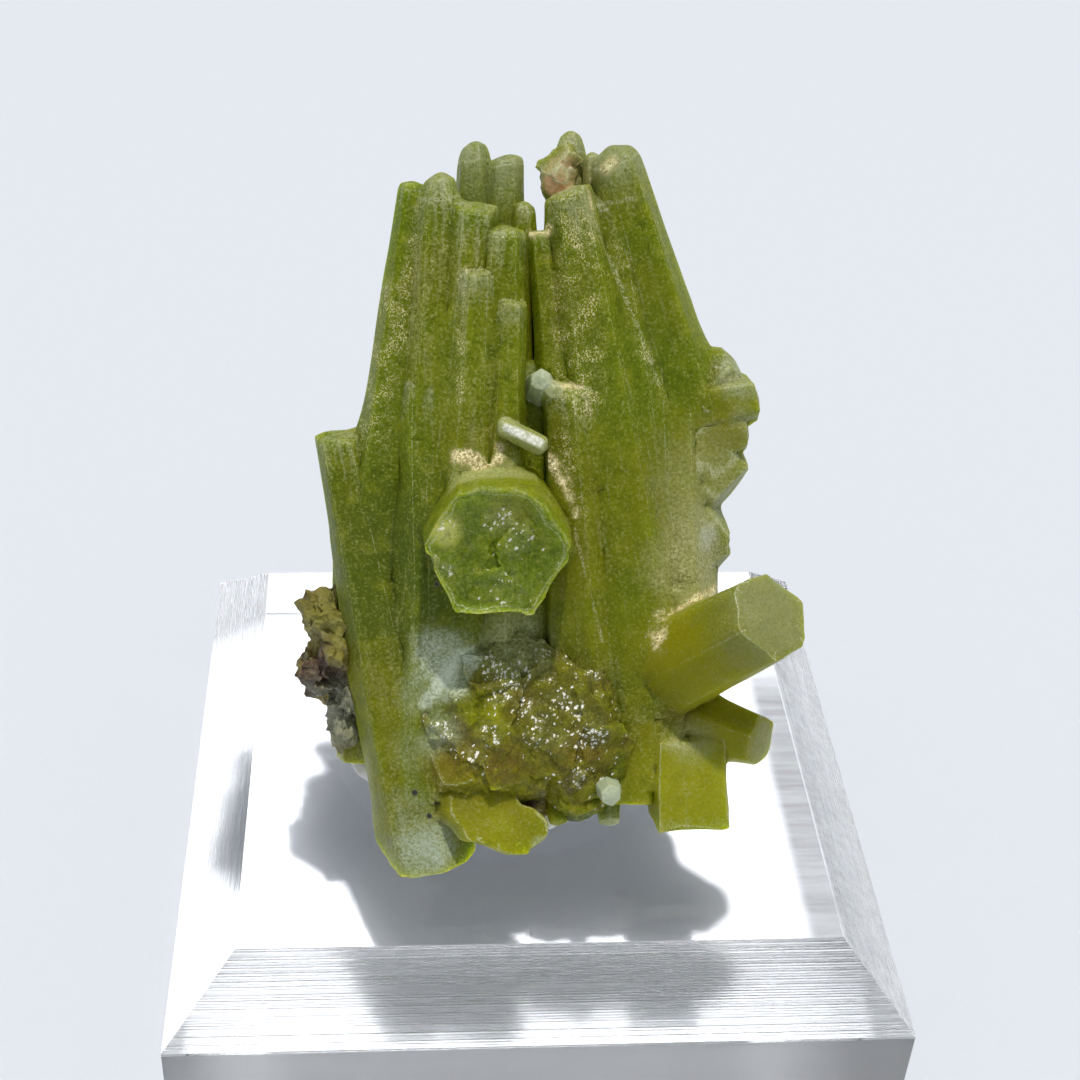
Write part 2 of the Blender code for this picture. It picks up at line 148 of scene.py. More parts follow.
RIGHT_FLANK = {
    "flank_druse_upper": ((6.0, 3.2, 19.4), (8.0, 3.1, 20.7), 2.7, 1.8, 10, CUT_END, 0.6, 0.4),
    "flank_druse_middle": ((6.0, 3.1, 18.7), (8.9, 3.0, 19.3), 3.0, 2.2, 25, CUT_END, 0.7, 0.2),
    "flank_druse_lower": ((6.2, 3.1, 17.6), (8.6, 2.9, 17.9), 2.8, 1.9, 40, CUT_END, 0.8, 0.2),
}

LOWER_PRISMS = {
    "prism_up_right": ((5.7, 1.5, 8.2), (8.9, -2.4, 11.2), 4.2, 4.0, 20, FLAT_END, 0.8, 0.1),
    "prism_down_right": ((5.4, 2.4, 6.1), (9.2, 0.4, 5.2), 3.0, 2.6, 10, FLAT_END, 0.95, 0.1),
    "foot_nub_olive": ((0.6, 2.0, 3.4), (0.9, 0.9, 1.6), 1.3, 0.9, 5, CUT_END, 0.9, 0.1),
    "foot_nub_grey": ((3.0, 2.2, 3.4), (3.1, 1.2, 1.5), 1.5, 1.1, 15, CUT_END, 0.2, 0.7),
    "pale_chip": ((2.8, 1.0, 3.4), (2.9, -0.7, 3.3), 1.3, 1.0, 12, CUT_END, 0.0, 1.0),
}

SMALL_GROWTHS = {
    "loose_prism": ((-1.2, 0.1, 18.12), (0.1, 0.0, 17.5), 0.85, 0.85, 10, POINT_END, 0.4, 0.8),
    "loose_prism_other_end": ((-0.5, 0.05, 17.8), (-1.8, 0.2, 18.4), 0.75, 0.88, 16, POINT_END, 0.4, 0.8),
    "pale_bud_left": ((-0.1, 1.8, 19.6), (-0.1, 0.4, 20.2), 1.4, 1.0, 0, ROUND_END, 0.0, 0.9),
    "pale_bud_right": ((0.5, 1.6, 19.4), (0.4, 0.3, 19.8), 1.2, 0.8, 30, ROUND_END, 0.2, 0.7),
}

# Four-sided fragment at the lower right
BLOCK_FRAGMENT = ((6.25, 1.3, 5.2), (6.4, 1.0, 1.8), 3.9, 4.7, 8, FLAT_END, 0.75, 0.25)

# The crystal that faces forward, and its hollow end: share of the radius, and depth in mm
HOPPER = ((-1.7, 2.6, 14.2), (-2.05, -2.2, 13.65), 5.9, 6.4, 26, FLAT_END, 0.35, 0.1)
HOLLOW = ((0.99, 0.0), (0.98, 0.01), (0.965, 0.06), (0.93, 0.10), (0.8, 0.18), (0.5, 0.30), (0.0, 0.35))
HOLLOW_RINGS = 30
# Radius of its innermost ring, as a share, and how far below the rim its deepest facets stay, in mm
HOLLOW_CENTRE = 0.06
HOLLOW_BRIM = 0.06
# Chips out of its rim: angle round the axis in degrees, depth as a share of the radius, half width in radians
RIM_CHIPS = ((158, 0.13, 0.10), (-101, 0.12, 0.09), (-38, 0.05, 0.12))
# How far the chips reach down from the rim, in mm
CHIP_REACH = 1.2

# Lumps: centre and radii in mm, roughness in mm, then how olive, how pale and how broken
FRACTURE_LUMPS = {
    "fracture_left": ((-1.5, 1.7, 5.9), (4.0, 2.3, 3.9), 0.30, 0.8, 0.1, 1.0),
    "fracture_right": ((1.6, 1.7, 5.6), (2.4, 2.1, 3.9), 0.30, 0.8, 0.1, 1.0),
    "lower_right_body": ((5.0, 2.9, 5.6), (2.5, 2.1, 3.0), 0.30, 0.9, 0.1, 0.8),
}
PLAIN_LUMPS = {
    "olive_chunk": ((-3.2, 1.0, 4.2), (2.1, 1.4, 1.6), 0.15, 1.0, 0.0, 0.3),
    "olive_lens": ((-2.5, 0.4, 2.6), (1.7, 1.1, 1.25), 0.06, 1.0, 0.0, 0.05),
    "olive_lens_tip": ((-1.15, 0.0, 1.75), (1.5, 1.0, 0.95), 0.06, 1.0, 0.0, 0.05),
    "olive_lens_middle": ((-2.05, 0.2, 1.95), (1.5, 1.05, 0.95), 0.06, 1.0, 0.0, 0.05),
    "flank_mass_upper": ((6.9, 3.0, 16.2), (1.9, 1.4, 2.3), 0.15, 0.6, 0.4, 0.0),
    "flank_mass_lower": ((6.5, 2.8, 13.3), (1.7, 1.4, 2.2), 0.15, 0.5, 0.4, 0.0),
    "flank_mass_druse": ((7.3, 3.0, 19.5), (1.3, 1.1, 1.6), 0.12, 0.7, 0.2, 0.3),
    "stained_lump": ((0.9, 3.0, 28.2), (0.85, 0.8, 1.0), 0.25, 0.5, 0.4, 0.0),
}

# Half width in mm of the painted highlight line round a cleaved face
CLEAVED_LINE = 0.07
# Flat cleaved faces of lumps: points of the faces and the ways that they look, in the cluster's frame
CLEAVED = {
    "olive_lens": (((-1.9, -0.28, 2.3), (0.10, -0.93, 0.36)),),
    "olive_lens_middle": (((-1.9, -0.28, 2.3), (0.10, -0.93, 0.36)),),
    "olive_lens_tip": (((-1.9, -0.28, 2.3), (0.10, -0.93, 0.36)),),
    "olive_chunk": (((-3.6, -0.10, 4.6), (-0.25, -0.90, 0.36)), ((-4.4, 0.3, 4.0), (-0.8, -0.55, -0.1))),
    "stained_lump": (((0.9, 2.35, 28.0), (0.3, -0.95, 0.1)), ((0.4, 2.7, 28.6), (-0.6, -0.5, 0.6))),
    "flank_mass_upper": (
        ((7.4, 2.0, 16.4), (0.35, -0.93, 0.1)), ((7.9, 2.4, 17.2), (0.7, -0.4, 0.6)),
        ((7.8, 2.4, 15.4), (0.7, -0.35, -0.6)),
    ),
    "flank_mass_lower": (
        ((7.0, 1.8, 13.2), (0.5, -0.86, -0.1)), ((7.5, 2.2, 14.2), (0.8, -0.3, 0.5)),
        ((7.2, 2.2, 12.2), (0.6, -0.4, -0.7)),
    ),
    "flank_mass_druse": (
        ((7.7, 2.25, 19.7), (0.3, -0.94, 0.15)), ((8.2, 2.6, 20.2), (0.85, -0.25, 0.45)),
        ((8.1, 2.6, 18.7), (0.8, -0.3, -0.5)), ((7.4, 2.8, 20.7), (0.2, -0.3, 0.93)),
    ),
}
# Facets of a break: size in mm, and lean
BREAK_FACETS = ((2.2, 0.18), (0.9, 0.14))
PLAIN_FACETS = ((1.5, 0.7), (0.7, 0.3))
ROCK_FACETS = ((1.0, 0.2), (0.4, 0.17))
# Roughness of a lump, in mm, at which the facets have their full lean
FACET_RELIEF = 0.3

ROCK_LUMPS = {
    "rock_left": ((-8.2, 4.2, 9.2), (1.3, 1.7, 2.1)),
    "rock_left_middle": ((-8.5, 4.4, 7.6), (1.4, 1.6, 1.2)),
    "rock_left_lower": ((-7.7, 4.3, 6.0), (1.0, 1.5, 2.1)),
    "rock_left_back": ((-6.0, 6.9, 7.0), (3.6, 2.3, 3.0)),
    "rock_middle_back": ((-1.6, 7.6, 8.8), (3.4, 2.3, 4.2)),
    "rock_middle_low": ((1.2, 8.2, 7.0), (3.4, 2.2, 2.4)),
    "rock_right_back": ((4.3, 7.2, 7.4), (2.8, 2.2, 2.6)),
    "rock_under": ((0.2, 4.3, 2.7), (3.8, 3.2, 1.5)),
    "rock_under_back": ((-0.6, 7.0, 5.0), (4.4, 2.4, 2.2)),
}

# Colour on the rock: centre in the cluster's frame, radius in mm, colour, strength
ROCK_STAINS = (
    ((-8.4, 2.9, 10.0), 1.7, (0.21, 0.20, 0.020), 0.75), ((-9.2, 3.0, 8.4), 0.9, (0.11, 0.05, 0.03), 0.8),
    ((-8.6, 2.9, 7.7), 0.8, (0.085, 0.04, 0.028), 0.85), ((-8.1, 3.0, 5.4), 1.8, (0.34, 0.36, 0.24), 0.75),
    ((-9.4, 3.3, 9.2), 0.6, (0.34, 0.33, 0.12), 0.7),
)

# Pad of putty, given as a lump in the row frame in mm
PUTTY = ((-1.5, -0.8, 10.9), (7.0, 5.8, 1.5), 0.5, 0.0, 0.0, 0.0)

# Colour inside the crystals, two of them painted shade: centre in the cluster's frame, radius in mm, colour,
# strength
LIME = (0.30, 0.31, 0.006)
AMBER = (0.17, 0.115, 0.014)
DEEP = (0.055, 0.085, 0.005)
INNER_STAINS = (
    ((-2.05, -2.0, 13.6), 2.7, (0.19, 0.27, 0.003), 0.85), ((-3.9, -2.1, 14.5), 0.6, (0.60, 0.60, 0.04), 1.0),
    ((-1.3, -2.0, 15.6), 0.9, (0.26, 0.26, 0.02), 0.6), ((-0.5, -2.0, 13.5), 0.8, (0.10, 0.17, 0.004), 0.7),
    ((-2.1, -1.9, 12.8), 0.9, (0.12, 0.19, 0.006), 0.5), ((-2.9, -1.9, 14.6), 0.6, (0.10, 0.17, 0.004), 0.6),
    ((-2.3, -0.9, 2.1), 2.0, (0.28, 0.27, 0.005), 0.9), ((-3.8, -0.2, 4.6), 1.3, (0.21, 0.165, 0.012), 0.8),
    ((-2.2, -0.4, 6.8), 0.9, LIME, 0.6), ((0.6, -0.3, 4.6), 1.1, (0.22, 0.19, 0.012), 0.7),
    ((1.0, -0.2, 6.9), 2.1, (0.12, 0.11, 0.02), 0.55), ((-1.6, -0.6, 2.0), 0.7, (0.36, 0.37, 0.008), 0.4),
    ((-3.1, -0.6, 3.2), 0.8, (0.20, 0.19, 0.01), 0.6), ((-1.5, -0.5, 4.6), 0.9, AMBER, 0.9),
    ((1.7, 0.0, 5.0), 1.1, AMBER, 0.9), ((-3.3, -0.2, 5.4), 0.9, AMBER, 0.6),
    ((-0.9, 0.0, 7.2), 0.8, AMBER, 0.6), ((-3.9, 0.0, 7.6), 1.0, DEEP, 0.5),
    ((-1.6, 0.2, 8.7), 0.8, (0.17, 0.20, 0.02), 0.5), ((5.7, 1.0, 6.4), 0.9, AMBER, 0.7),
    # The broad dark greens at (-7.2, 2.2, 12.0) and (-5.2, 0.8, 12.0) are painted shade on the left side of
    # the left bundle.
    ((7.6, 2.0, 19.6), 1.0, (0.20, 0.22, 0.010), 0.6), ((-7.2, 2.2, 12.0), 4.0, (0.085, 0.12, 0.012), 0.6),
    ((-5.2, 0.8, 12.0), 3.0, (0.085, 0.125, 0.010), 0.5), ((4.6, 0.6, 20.0), 2.6, (0.14, 0.20, 0.003), 0.6),
    ((-2.9, 0.5, 21.0), 2.2, (0.21, 0.26, 0.006), 0.6), ((7.0, -0.4, 9.1), 2.6, (0.30, 0.28, 0.004), 0.8),
    ((8.0, 1.0, 5.6), 1.6, (0.34, 0.31, 0.010), 0.85), ((6.4, 0.2, 3.5), 2.2, (0.36, 0.36, 0.012), 0.85),
    ((8.7, -2.2, 11.3), 2.0, (0.19, 0.20, 0.02), 0.8),
)
# Colour on the crystals, given in the same way
WHITISH = (0.44, 0.52, 0.39)
FROSTED_AND_LIT = (0.62, 0.72, 0.54)
TAN = (0.62, 0.47, 0.23)
OUTER_STAINS = (
    # The frosted patch left of the break is a real whitish colour, made lighter still as painted light where
    # the hopper shades it.
    ((-4.0, 0.4, 8.9), 1.2, FROSTED_AND_LIT, 0.9), ((-3.6, 0.2, 7.8), 0.7, FROSTED_AND_LIT, 0.85),
    ((-2.9, 0.2, 8.9), 0.5, FROSTED_AND_LIT, 0.9), ((-5.0, 0.4, 7.2), 0.9, WHITISH, 0.5),
    ((-4.1, 0.2, 1.0), 1.1, WHITISH, 0.75), ((-5.2, 0.6, 2.4), 1.0, WHITISH, 0.4),
    ((-4.9, 0.4, 0.5), 1.2, WHITISH, 0.75), ((-5.2, 0.5, 5.0), 1.0, WHITISH, 0.3),
    ((-3.9, -0.2, 5.9), 0.8, (0.34, 0.42, 0.26), 0.7), ((-4.5, -0.1, 5.2), 0.6, (0.34, 0.42, 0.26), 0.6),
    ((8.0, 2.2, 20.2), 0.9, (0.50, 0.52, 0.34), 0.7), ((8.2, 2.4, 18.6), 0.6, (0.50, 0.52, 0.34), 0.5),
    ((6.4, 1.1, 12.6), 2.0, (0.52, 0.50, 0.22), 0.8), ((7.0, 1.4, 15.8), 2.2, (0.34, 0.36, 0.14), 0.6),
    # The pale patch at (-0.9, 0.9, 9.4) is a pale grey-green made lighter as painted light where the hopper
    # shades it.
    ((8.7, -2.2, 11.3), 2.0, (0.22, 0.24, 0.07), 0.6), ((-0.9, 0.9, 9.4), 1.4, (0.58, 0.62, 0.32), 0.8),
    ((-3.9, -2.1, 14.5), 0.5, (0.60, 0.64, 0.16), 0.6), ((-2.2, 3.0, 28.8), 2.2, (0.23, 0.26, 0.10), 0.6),
    ((2.6, 2.4, 28.8), 1.8, (0.23, 0.26, 0.10), 0.55), ((6.3, 0.1, 5.3), 0.9, (0.36, 0.38, 0.18), 0.6),
    ((9.4, 0.2, 5.2), 0.8, (0.34, 0.35, 0.12), 0.5), ((7.2, 1.4, 13.6), 0.6, (0.60, 0.62, 0.50), 0.7),
    ((0.8, 2.3, 28.2), 1.0, TAN, 0.95), ((0.5, 2.4, 27.7), 0.5, (0.40, 0.17, 0.09), 0.7),
    ((1.2, 2.3, 28.6), 0.4, (0.30, 0.13, 0.07), 0.6), ((0.05, -0.5, 1.2), 0.35, WHITISH, 0.7),
)
# Golden crusts: start and end in the cluster's frame, radius in mm, strength
CRUSTS = (
    ((-3.5, 0.2, 17.2), (-2.5, 0.3, 16.8), 0.42, 1.0), ((-2.6, 0.2, 16.8), (-1.7, 0.2, 16.95), 0.2, 0.9),
    ((-1.75, 0.3, 17.0), (-1.7, 0.3, 17.5), 0.26, 1.0), ((0.35, 0.6, 16.8), (0.75, 0.4, 16.2), 0.40, 1.0),
    ((1.0, 0.35, 15.7), (1.1, 0.35, 15.4), 0.28, 0.9), ((1.35, 0.3, 15.0), (1.4, 0.3, 14.8), 0.2, 0.8),
    ((0.6, 0.5, 19.9), (1.5, 0.4, 19.95), 0.2, 0.9), ((4.75, -0.2, 9.5), (5.0, 0.2, 10.3), 0.42, 1.0),
    ((5.0, 0.2, 10.3), (6.2, 0.6, 11.15), 0.30, 1.0), ((6.2, 0.6, 11.15), (7.5, 2.1, 11.4), 0.30, 1.0),
    ((-0.5, 1.4, 25.8), (0.1, 1.4, 26.0), 0.25, 0.9), ((2.2, 1.3, 28.3), (2.7, 1.3, 28.6), 0.3, 0.7),
    ((1.6, 1.3, 27.6), (1.9, 1.2, 26.9), 0.22, 0.7),
)
# Stripes of colour on the crystals, among them painted light: start and end, radius in mm, colour, strength
TINTED_STRIPES = (
    # The pale band on the hopper's up-facing side face is partly its own pale grey-green and partly painted
    # light.
    ((-3.9, -0.4, 16.4), (-0.3, -0.4, 17.0), 0.8, (0.43, 0.46, 0.17), 0.9),
    ((-4.7, 0.3, 7.0), (-3.3, 0.2, 8.9), 0.35, (0.66, 0.74, 0.56), 0.8),
    # The near-white streak along the loose prism is a painted highlight.
    ((-1.5, -0.3, 18.35), (-0.2, -0.4, 17.8), 0.24, (0.96, 0.97, 0.88), 1.0),
    ((4.9, -0.3, 5.3), (6.6, -0.4, 5.3), 0.4, (0.46, 0.50, 0.28), 0.7),
)
# Places with a calm, clear surface: centre in the cluster's frame, radius in mm
CALM = (
    ((-7.6, 2.4, 9.0), 6.0), ((5.6, 0.8, 16.5), 3.6), ((2.9, 0.6, 11.8), 3.2), ((5.2, 1.4, 23.0), 2.0),
)
# Bands of golden specks, partly painted glints of tiny crystal edges: start and end in the cluster's frame,
# radius in mm, strength
SPECK_BANDS = (
    ((1.0, 0.8, 26.6), (1.5, 0.5, 19.5), 1.3, 0.9), ((3.0, 1.9, 25.6), (4.0, 1.8, 21.2), 0.7, 0.9),
    ((-6.0, 2.3, 23.0), (-6.8, 2.6, 17.5), 1.2, 0.8), ((-3.3, 0.5, 24.4), (-3.4, 0.3, 19.5), 0.35, 0.9),
    ((0.6, 0.4, 17.6), (1.5, 0.2, 13.5), 0.8, 0.8), ((-4.9, 1.7, 26.6), (-5.6, 1.9, 21.5), 0.5, 0.7),
    ((3.9, 1.6, 21.5), (5.0, 1.6, 19.2), 0.5, 0.6),
)
# Painted highlights along edges: start, end and radius in mm
EDGE_HIGHLIGHTS = (
    ((1.8, 1.1, 27.0), (2.85, 1.3, 24.4), 0.14), ((2.85, 1.3, 24.4), (4.8, 1.5, 19.9), 0.12),
    ((1.3, 0.25, 14.2), (2.5, 0.2, 9.6), 0.10), ((2.1, 1.5, 27.0), (3.6, 1.2, 27.3), 0.12),
    ((-1.8, 0.9, 9.4), (-0.3, 1.0, 9.9), 0.08), ((-0.3, 1.0, 9.9), (0.6, 0.7, 9.0), 0.08),
)
# Clusters of glints on broken surfaces, painted as white flecks and made by tilted facets: centre in the
# cluster's frame, radius in mm, strength
GLINTS = (
    ((-2.0, 0.0, 8.8), 0.45, 0.8), ((-1.3, -0.3, 8.2), 0.75, 1.0), ((-1.7, -0.2, 7.5), 0.45, 0.8),
    ((0.8, 0.0, 7.1), 0.5, 1.0), ((1.5, -0.2, 6.9), 0.4, 0.9), ((0.0, -0.3, 6.4), 0.35, 0.9),
    ((-0.3, -0.4, 5.7), 0.35, 1.0), ((2.1, -0.4, 5.8), 0.6, 0.9), ((-0.7, -0.2, 6.9), 0.4, 0.9),
    ((-2.1, -0.4, 5.9), 0.5, 0.8), ((-4.1, -0.2, 5.9), 0.5, 0.7), ((0.1, 0.5, 9.0), 0.4, 0.8),
    ((1.3, 0.5, 8.8), 0.3, 0.7), ((1.6, -0.1, 3.8), 0.5, 0.7), ((2.2, 0.1, 8.3), 0.35, 0.7),
    ((0.8, -0.2, 5.4), 0.6, 0.5), ((-2.6, -0.4, 5.0), 0.5, 0.5), ((-1.8, -2.0, 14.9), 0.55, 0.9),
    ((-1.1, -2.0, 14.3), 0.5, 1.0), ((-1.3, -2.0, 13.8), 0.4, 0.6), ((-3.9, -2.1, 14.8), 0.35, 0.8),
    ((0.6, -2.2, 13.2), 0.3, 0.7), ((-3.9, -2.0, 12.9), 0.35, 0.7), ((-1.5, -2.0, 12.2), 0.8, 0.35),
)
# Tiny dark grains: centre in the cluster's frame
DARK_GRAINS = (
    (-5.1, 0.3, 3.2), (-4.2, 0.3, 2.8), (-4.5, 0.3, 2.2), (-3.5, -0.1, 2.4), (-4.2, 0.5, 11.9),
)


def a_length(name, about, default):
    """A setting in metres."""
    return FloatProperty(name=name, description=about, default=default, unit="LENGTH")


def a_colour(name, about, default):
    """A setting for a colour."""
    return FloatVectorProperty(name=name, description=about, default=default, subtype="COLOR", min=0, max=1)


class BlockSettings(bpy.types.PropertyGroup):
    """Sizes of the clear block."""

    side: a_length("Side", "Length of the block's sides", 0.030)
    height: a_length("Height", "Height of the block", 0.010)
    bevel: a_length("Bevel", "Width of the milled bevel", 0.0028)
    ridges: IntProperty(name="Milling ridges", description="Cutter marks across a bevel", default=38, min=2)
    ridge_depth: a_length("Ridge depth", "Depth of the cutter marks", 0.000005)
    clarity: a_colour("Clarity", "Tint of the light through the block", (0.995, 0.998, 1.0))


class ClusterSettings(bpy.types.PropertyGroup):
    """Stance, relief and colours of the crystals."""

    lean: FloatProperty(name="Lean", description="Lean of the crystals", default=radians(26), subtype="ANGLE")
    foot: FloatVectorProperty(
        name="Foot", description="Where the cluster stands", default=(0, -0.0086, 0.0105),
        subtype="TRANSLATION", unit="LENGTH",
    )
    ring_step: a_length("Ring step", "Spacing of the mesh along a crystal", 0.00042)
    leaf: a_colour("Leaf green", "Colour of the fresh crystal", (0.155, 0.205, 0.003))
    olive: a_colour("Olive", "Colour of the crystals at the foot", (0.225, 0.215, 0.004))
    bloom: a_colour("Bloom", "Pale grey-green of outer faces", (0.27, 0.29, 0.06))
    # Colour of the golden specks, which are partly painted glints
    druse: a_colour("Druse", "Pale golden specks", (0.74, 0.66, 0.34))


class RockSettings(bpy.types.PropertyGroup):
    """Roughness and colours of the rock."""

    relief: a_length("Relief", "Height of the rough surface", 0.00065)
    brown: a_colour("Brown", "Iron-stained crust", (0.065, 0.030, 0.014))
    ochre: a_colour("Ochre", "Yellow stain", (0.30, 0.24, 0.035))


class PuttySettings(bpy.types.PropertyGroup):
    """Colour of the putty."""

    white: a_colour("White", "Colour of the putty", (0.80, 0.79, 0.76))


class StageSettings(bpy.types.PropertyGroup):
    """Floor and light."""

    floor: a_colour("Floor", "Colour of the sheet under the block", (0.70, 0.73, 0.79))
    key: FloatProperty(name="Key light", description="Strength of the main light", default=2.5, min=0)
    sky: FloatProperty(name="Sky light", description="Strength of the light all round", default=0.38, min=0)


class Wire:
    """A socket with arithmetic, so that a mask can be written as an expression."""

    def __init__(self, looks, socket):
        self.looks = looks
        self.socket = socket

    def _math(self, operation, *values):
        return self.looks.node("ShaderNodeMath", {"operation": operation}, dict(enumerate(values)))

    def __add__(self, other):
        return self._math("ADD", self, other)

    def __radd__(self, other):
        return self._math("ADD", other, self)

    def __sub__(self, other):
        return self._math("SUBTRACT", self, other)

    def __rsub__(self, other):
        return self._math("SUBTRACT", other, self)

    def __mul__(self, other):
        return self._math("MULTIPLY", self, other)

    def __rmul__(self, other):
        return self._math("MULTIPLY", other, self)

    def clamp(self):
        """Kept between 0 and 1."""
        return self.looks.node("ShaderNodeClamp", {}, {"Value": self})

    def over(self, other):
        """Covered by either of two masks."""
        return 1 - (1 - self) * (1 - other)

    def step(self, low, high):
        """0 below low, 1 above high and smooth between them."""
        return self.looks.node(
            "ShaderNodeMapRange", {"interpolation_type": "SMOOTHSTEP"},
            {"Value": self, "From Min": low, "From Max": high},
        )


class Looks:
    """Builds one material from nodes."""

    def __init__(self, name):
        self.material = bpy.data.materials.new(name)
        self.material.use_nodes = True
        self.tree = self.material.node_tree
        self.tree.nodes.clear()
        self.output = self.tree.nodes.new("ShaderNodeOutputMaterial")

    def node(self, kind, settings, inputs, output=0):
        """Add a node: its settings first, then the values or links of its sockets."""
        made = self.tree.nodes.new(kind)
        for key, value in settings.items():
            setattr(made, key, value)
        for key, value in inputs.items():
            if isinstance(value, Wire):
                self.tree.links.new(value.socket, made.inputs[key])
            else:
                made.inputs[key].default_value = value
        return Wire(self, made.outputs[output])

    def attribute(self, name, output="Vector"):
        """A named attribute of the mesh."""
        return self.node("ShaderNodeAttribute", {"attribute_name": name}, {}, output)

    def place(self):
        """Place on the piece in metres, in the frame of the whole object."""
        return self.node("ShaderNodeTexCoord", {}, {}, "Object")

    def split(self, vector):
        """The three parts of a vector."""
        made = self.node("ShaderNodeSeparateXYZ", {}, {0: vector}).socket.node
        return [Wire(self, made.outputs[axis]) for axis in range(3)]

    def vector(self, operation, *values, output=0):
        """Vector arithmetic."""
        return self.node("ShaderNodeVectorMath", {"operation": operation}, dict(enumerate(values)), output)

    def noise(self, where, scale, detail, roughness, stretch=(1, 1, 1)):
        """Noise around 0.5."""
        where = self.vector("MULTIPLY", where, stretch)
        inputs = {"Vector": where, "Scale": scale, "Detail": detail, "Roughness": roughness}
        return self.node("ShaderNodeTexNoise", {}, inputs)

    def cells(self, where, scale, feature, output, stretch=(1, 1, 1)):
        """Cell pattern."""
        where = self.vector("MULTIPLY", where, stretch)
        inputs = {"Vector": where, "Scale": scale}
        return self.node("ShaderNodeTexVoronoi", {"feature": feature}, inputs, output)

    def mix(self, share, first, second):
        """Blend of two colours."""
        made = self.tree.nodes.new("ShaderNodeMix")
        made.data_type = "RGBA"
        names = {"Factor": share, "A": first, "B": second}
        for socket in made.inputs:
            if socket.enabled and socket.name in names:
                value = names[socket.name]
                if isinstance(value, Wire):
                    self.tree.links.new(value.socket, socket)
                else:
                    socket.default_value = value if isinstance(value, float) else (*value, 1)
        return Wire(self, next(socket for socket in made.outputs if socket.enabled))

    def lay(self, layer, mask, tint):
        """Colour and cover of a layer, with one more patch on it."""
        coat, cover = layer
        return self.mix(mask, coat, tint), cover.over(mask)

    def spot(self, where, centre, radius, ragged, soft=0.55):
        """1 inside a patch with a ragged edge and 0 outside it. Centre in metres, radius in mm."""
        away = self.vector("DISTANCE", where, centre, output="Value") * (1 / (radius * MM))
        return 1 - (away + ragged).step(1 - soft, 1 + soft)

    def stripe(self, where, start, end, radius, ragged=0.0):
        """1 along a line between two places and 0 away from it. Ends in metres, radius in mm."""
        run = end - start
        offset = self.vector("SUBTRACT", where, start)
        share = (self.vector("DOT_PRODUCT", offset, run, output="Value") * (1 / run.length_squared)).clamp()
        foot = self.node("ShaderNodeVectorMath", {"operation": "SCALE"}, {0: run, "Scale": share})
        away = self.vector("DISTANCE", offset, foot, output="Value") * (1 / (radius * MM)) + ragged
        return 1 - away.step(0.4, 1.2)

    def bump(self, height, depth, normal=None):
        """Relief of a height from 0 to 1, with its depth in mm."""
        inputs = {"Height": height, "Distance": depth * MM, "Strength": 1.0}
        if normal is not None:
            inputs["Normal"] = normal
        return self.node("ShaderNodeBump", {}, inputs)

    def facets(self, normal, cells, strength, rise=0.0):
        """Turn the normal of each small cell its own way, and all of them up by a share."""
        away = self.vector("SUBTRACT", cells, (0.5, 0.5, 0.5 - rise))
        away = self.node("ShaderNodeVectorMath", {"operation": "SCALE"}, {0: away, "Scale": strength})
        return self.vector("NORMALIZE", self.vector("ADD", normal, away))

    def surface(self, **inputs):
        """A surface shader. Names use _ for a space."""
        named = {key.replace("_", " "): value for key, value in inputs.items()}
        return self.node("ShaderNodeBsdfPrincipled", {"subsurface_method": "RANDOM_WALK"}, named)

    def finish(self, shader):
        """Connect the surface."""
        self.tree.links.new(shader.socket, self.output.inputs["Surface"])
        return self.material


def cluster_matrix(settings):
    """From the cluster's frame in mm to the row frame in metres."""
    turn = Euler((-settings.lean, 0, 0)).to_matrix().to_4x4()
    return Matrix.Translation(settings.foot) @ turn @ Matrix.Scale(MM, 4)


def in_row(point):
    """A place of the cluster's frame in mm, as a place of the row frame in metres."""
    return cluster_matrix(bpy.context.scene.specimen_cluster) @ Vector(point)


def new_group(name):
    """A collection for pieces that are joined later."""
    group = bpy.data.collections.new(name)
    bpy.context.scene.collection.children.link(group)
    return group


def add_object(name, data, group=None):
    """An object in a collection, or straight in the scene."""
    made = bpy.data.objects.new(name, data)
    (bpy.context.scene.collection if group is None else group).objects.link(made)
    return made


def mesh_of(bm, name):
    """A mesh from finished geometry, which is freed."""
    mesh = bpy.data.meshes.new(name)
    bm.to_mesh(mesh)
    bm.free()
    return mesh


def values_of(items, key, width=1, kind=np.float32):
    """One value, or one row of values, for each vertex, edge, corner or face of a mesh."""
    values = np.zeros(len(items) * width, dtype=kind)
    items.foreach_get(key, values)
    return values.reshape(-1, width) if width > 1 else values


# Points of one side of a ring: share of the side, and share of the distance from the axis
SIDE_POINTS = (
    (0.0, 0.962), (0.05, 0.985), (0.12, 1.0), (0.3, 1.0), (0.5, 1.0), (0.7, 1.0), (0.88, 1.0), (0.95, 0.985),
)
SMALL_SIDE_POINTS = ((0.0, 0.96), (0.12, 0.995), (0.5, 1.0), (0.88, 0.995))


def ring_of(sides, fine):
    """The outline of a crystal with softened corners, its first corner at +Y."""
    corners = [
        Vector((cos(pi / 2 + 2 * pi * k / sides), sin(pi / 2 + 2 * pi * k / sides))) for k in range(sides + 1)
    ]
    points = []
    for k in range(sides):
        for share, pull in SIDE_POINTS if fine else SMALL_SIDE_POINTS:
            point = corners[k].lerp(corners[k + 1], share) * pull
            points.append((point.x, point.y, k))
    return np.array(points)


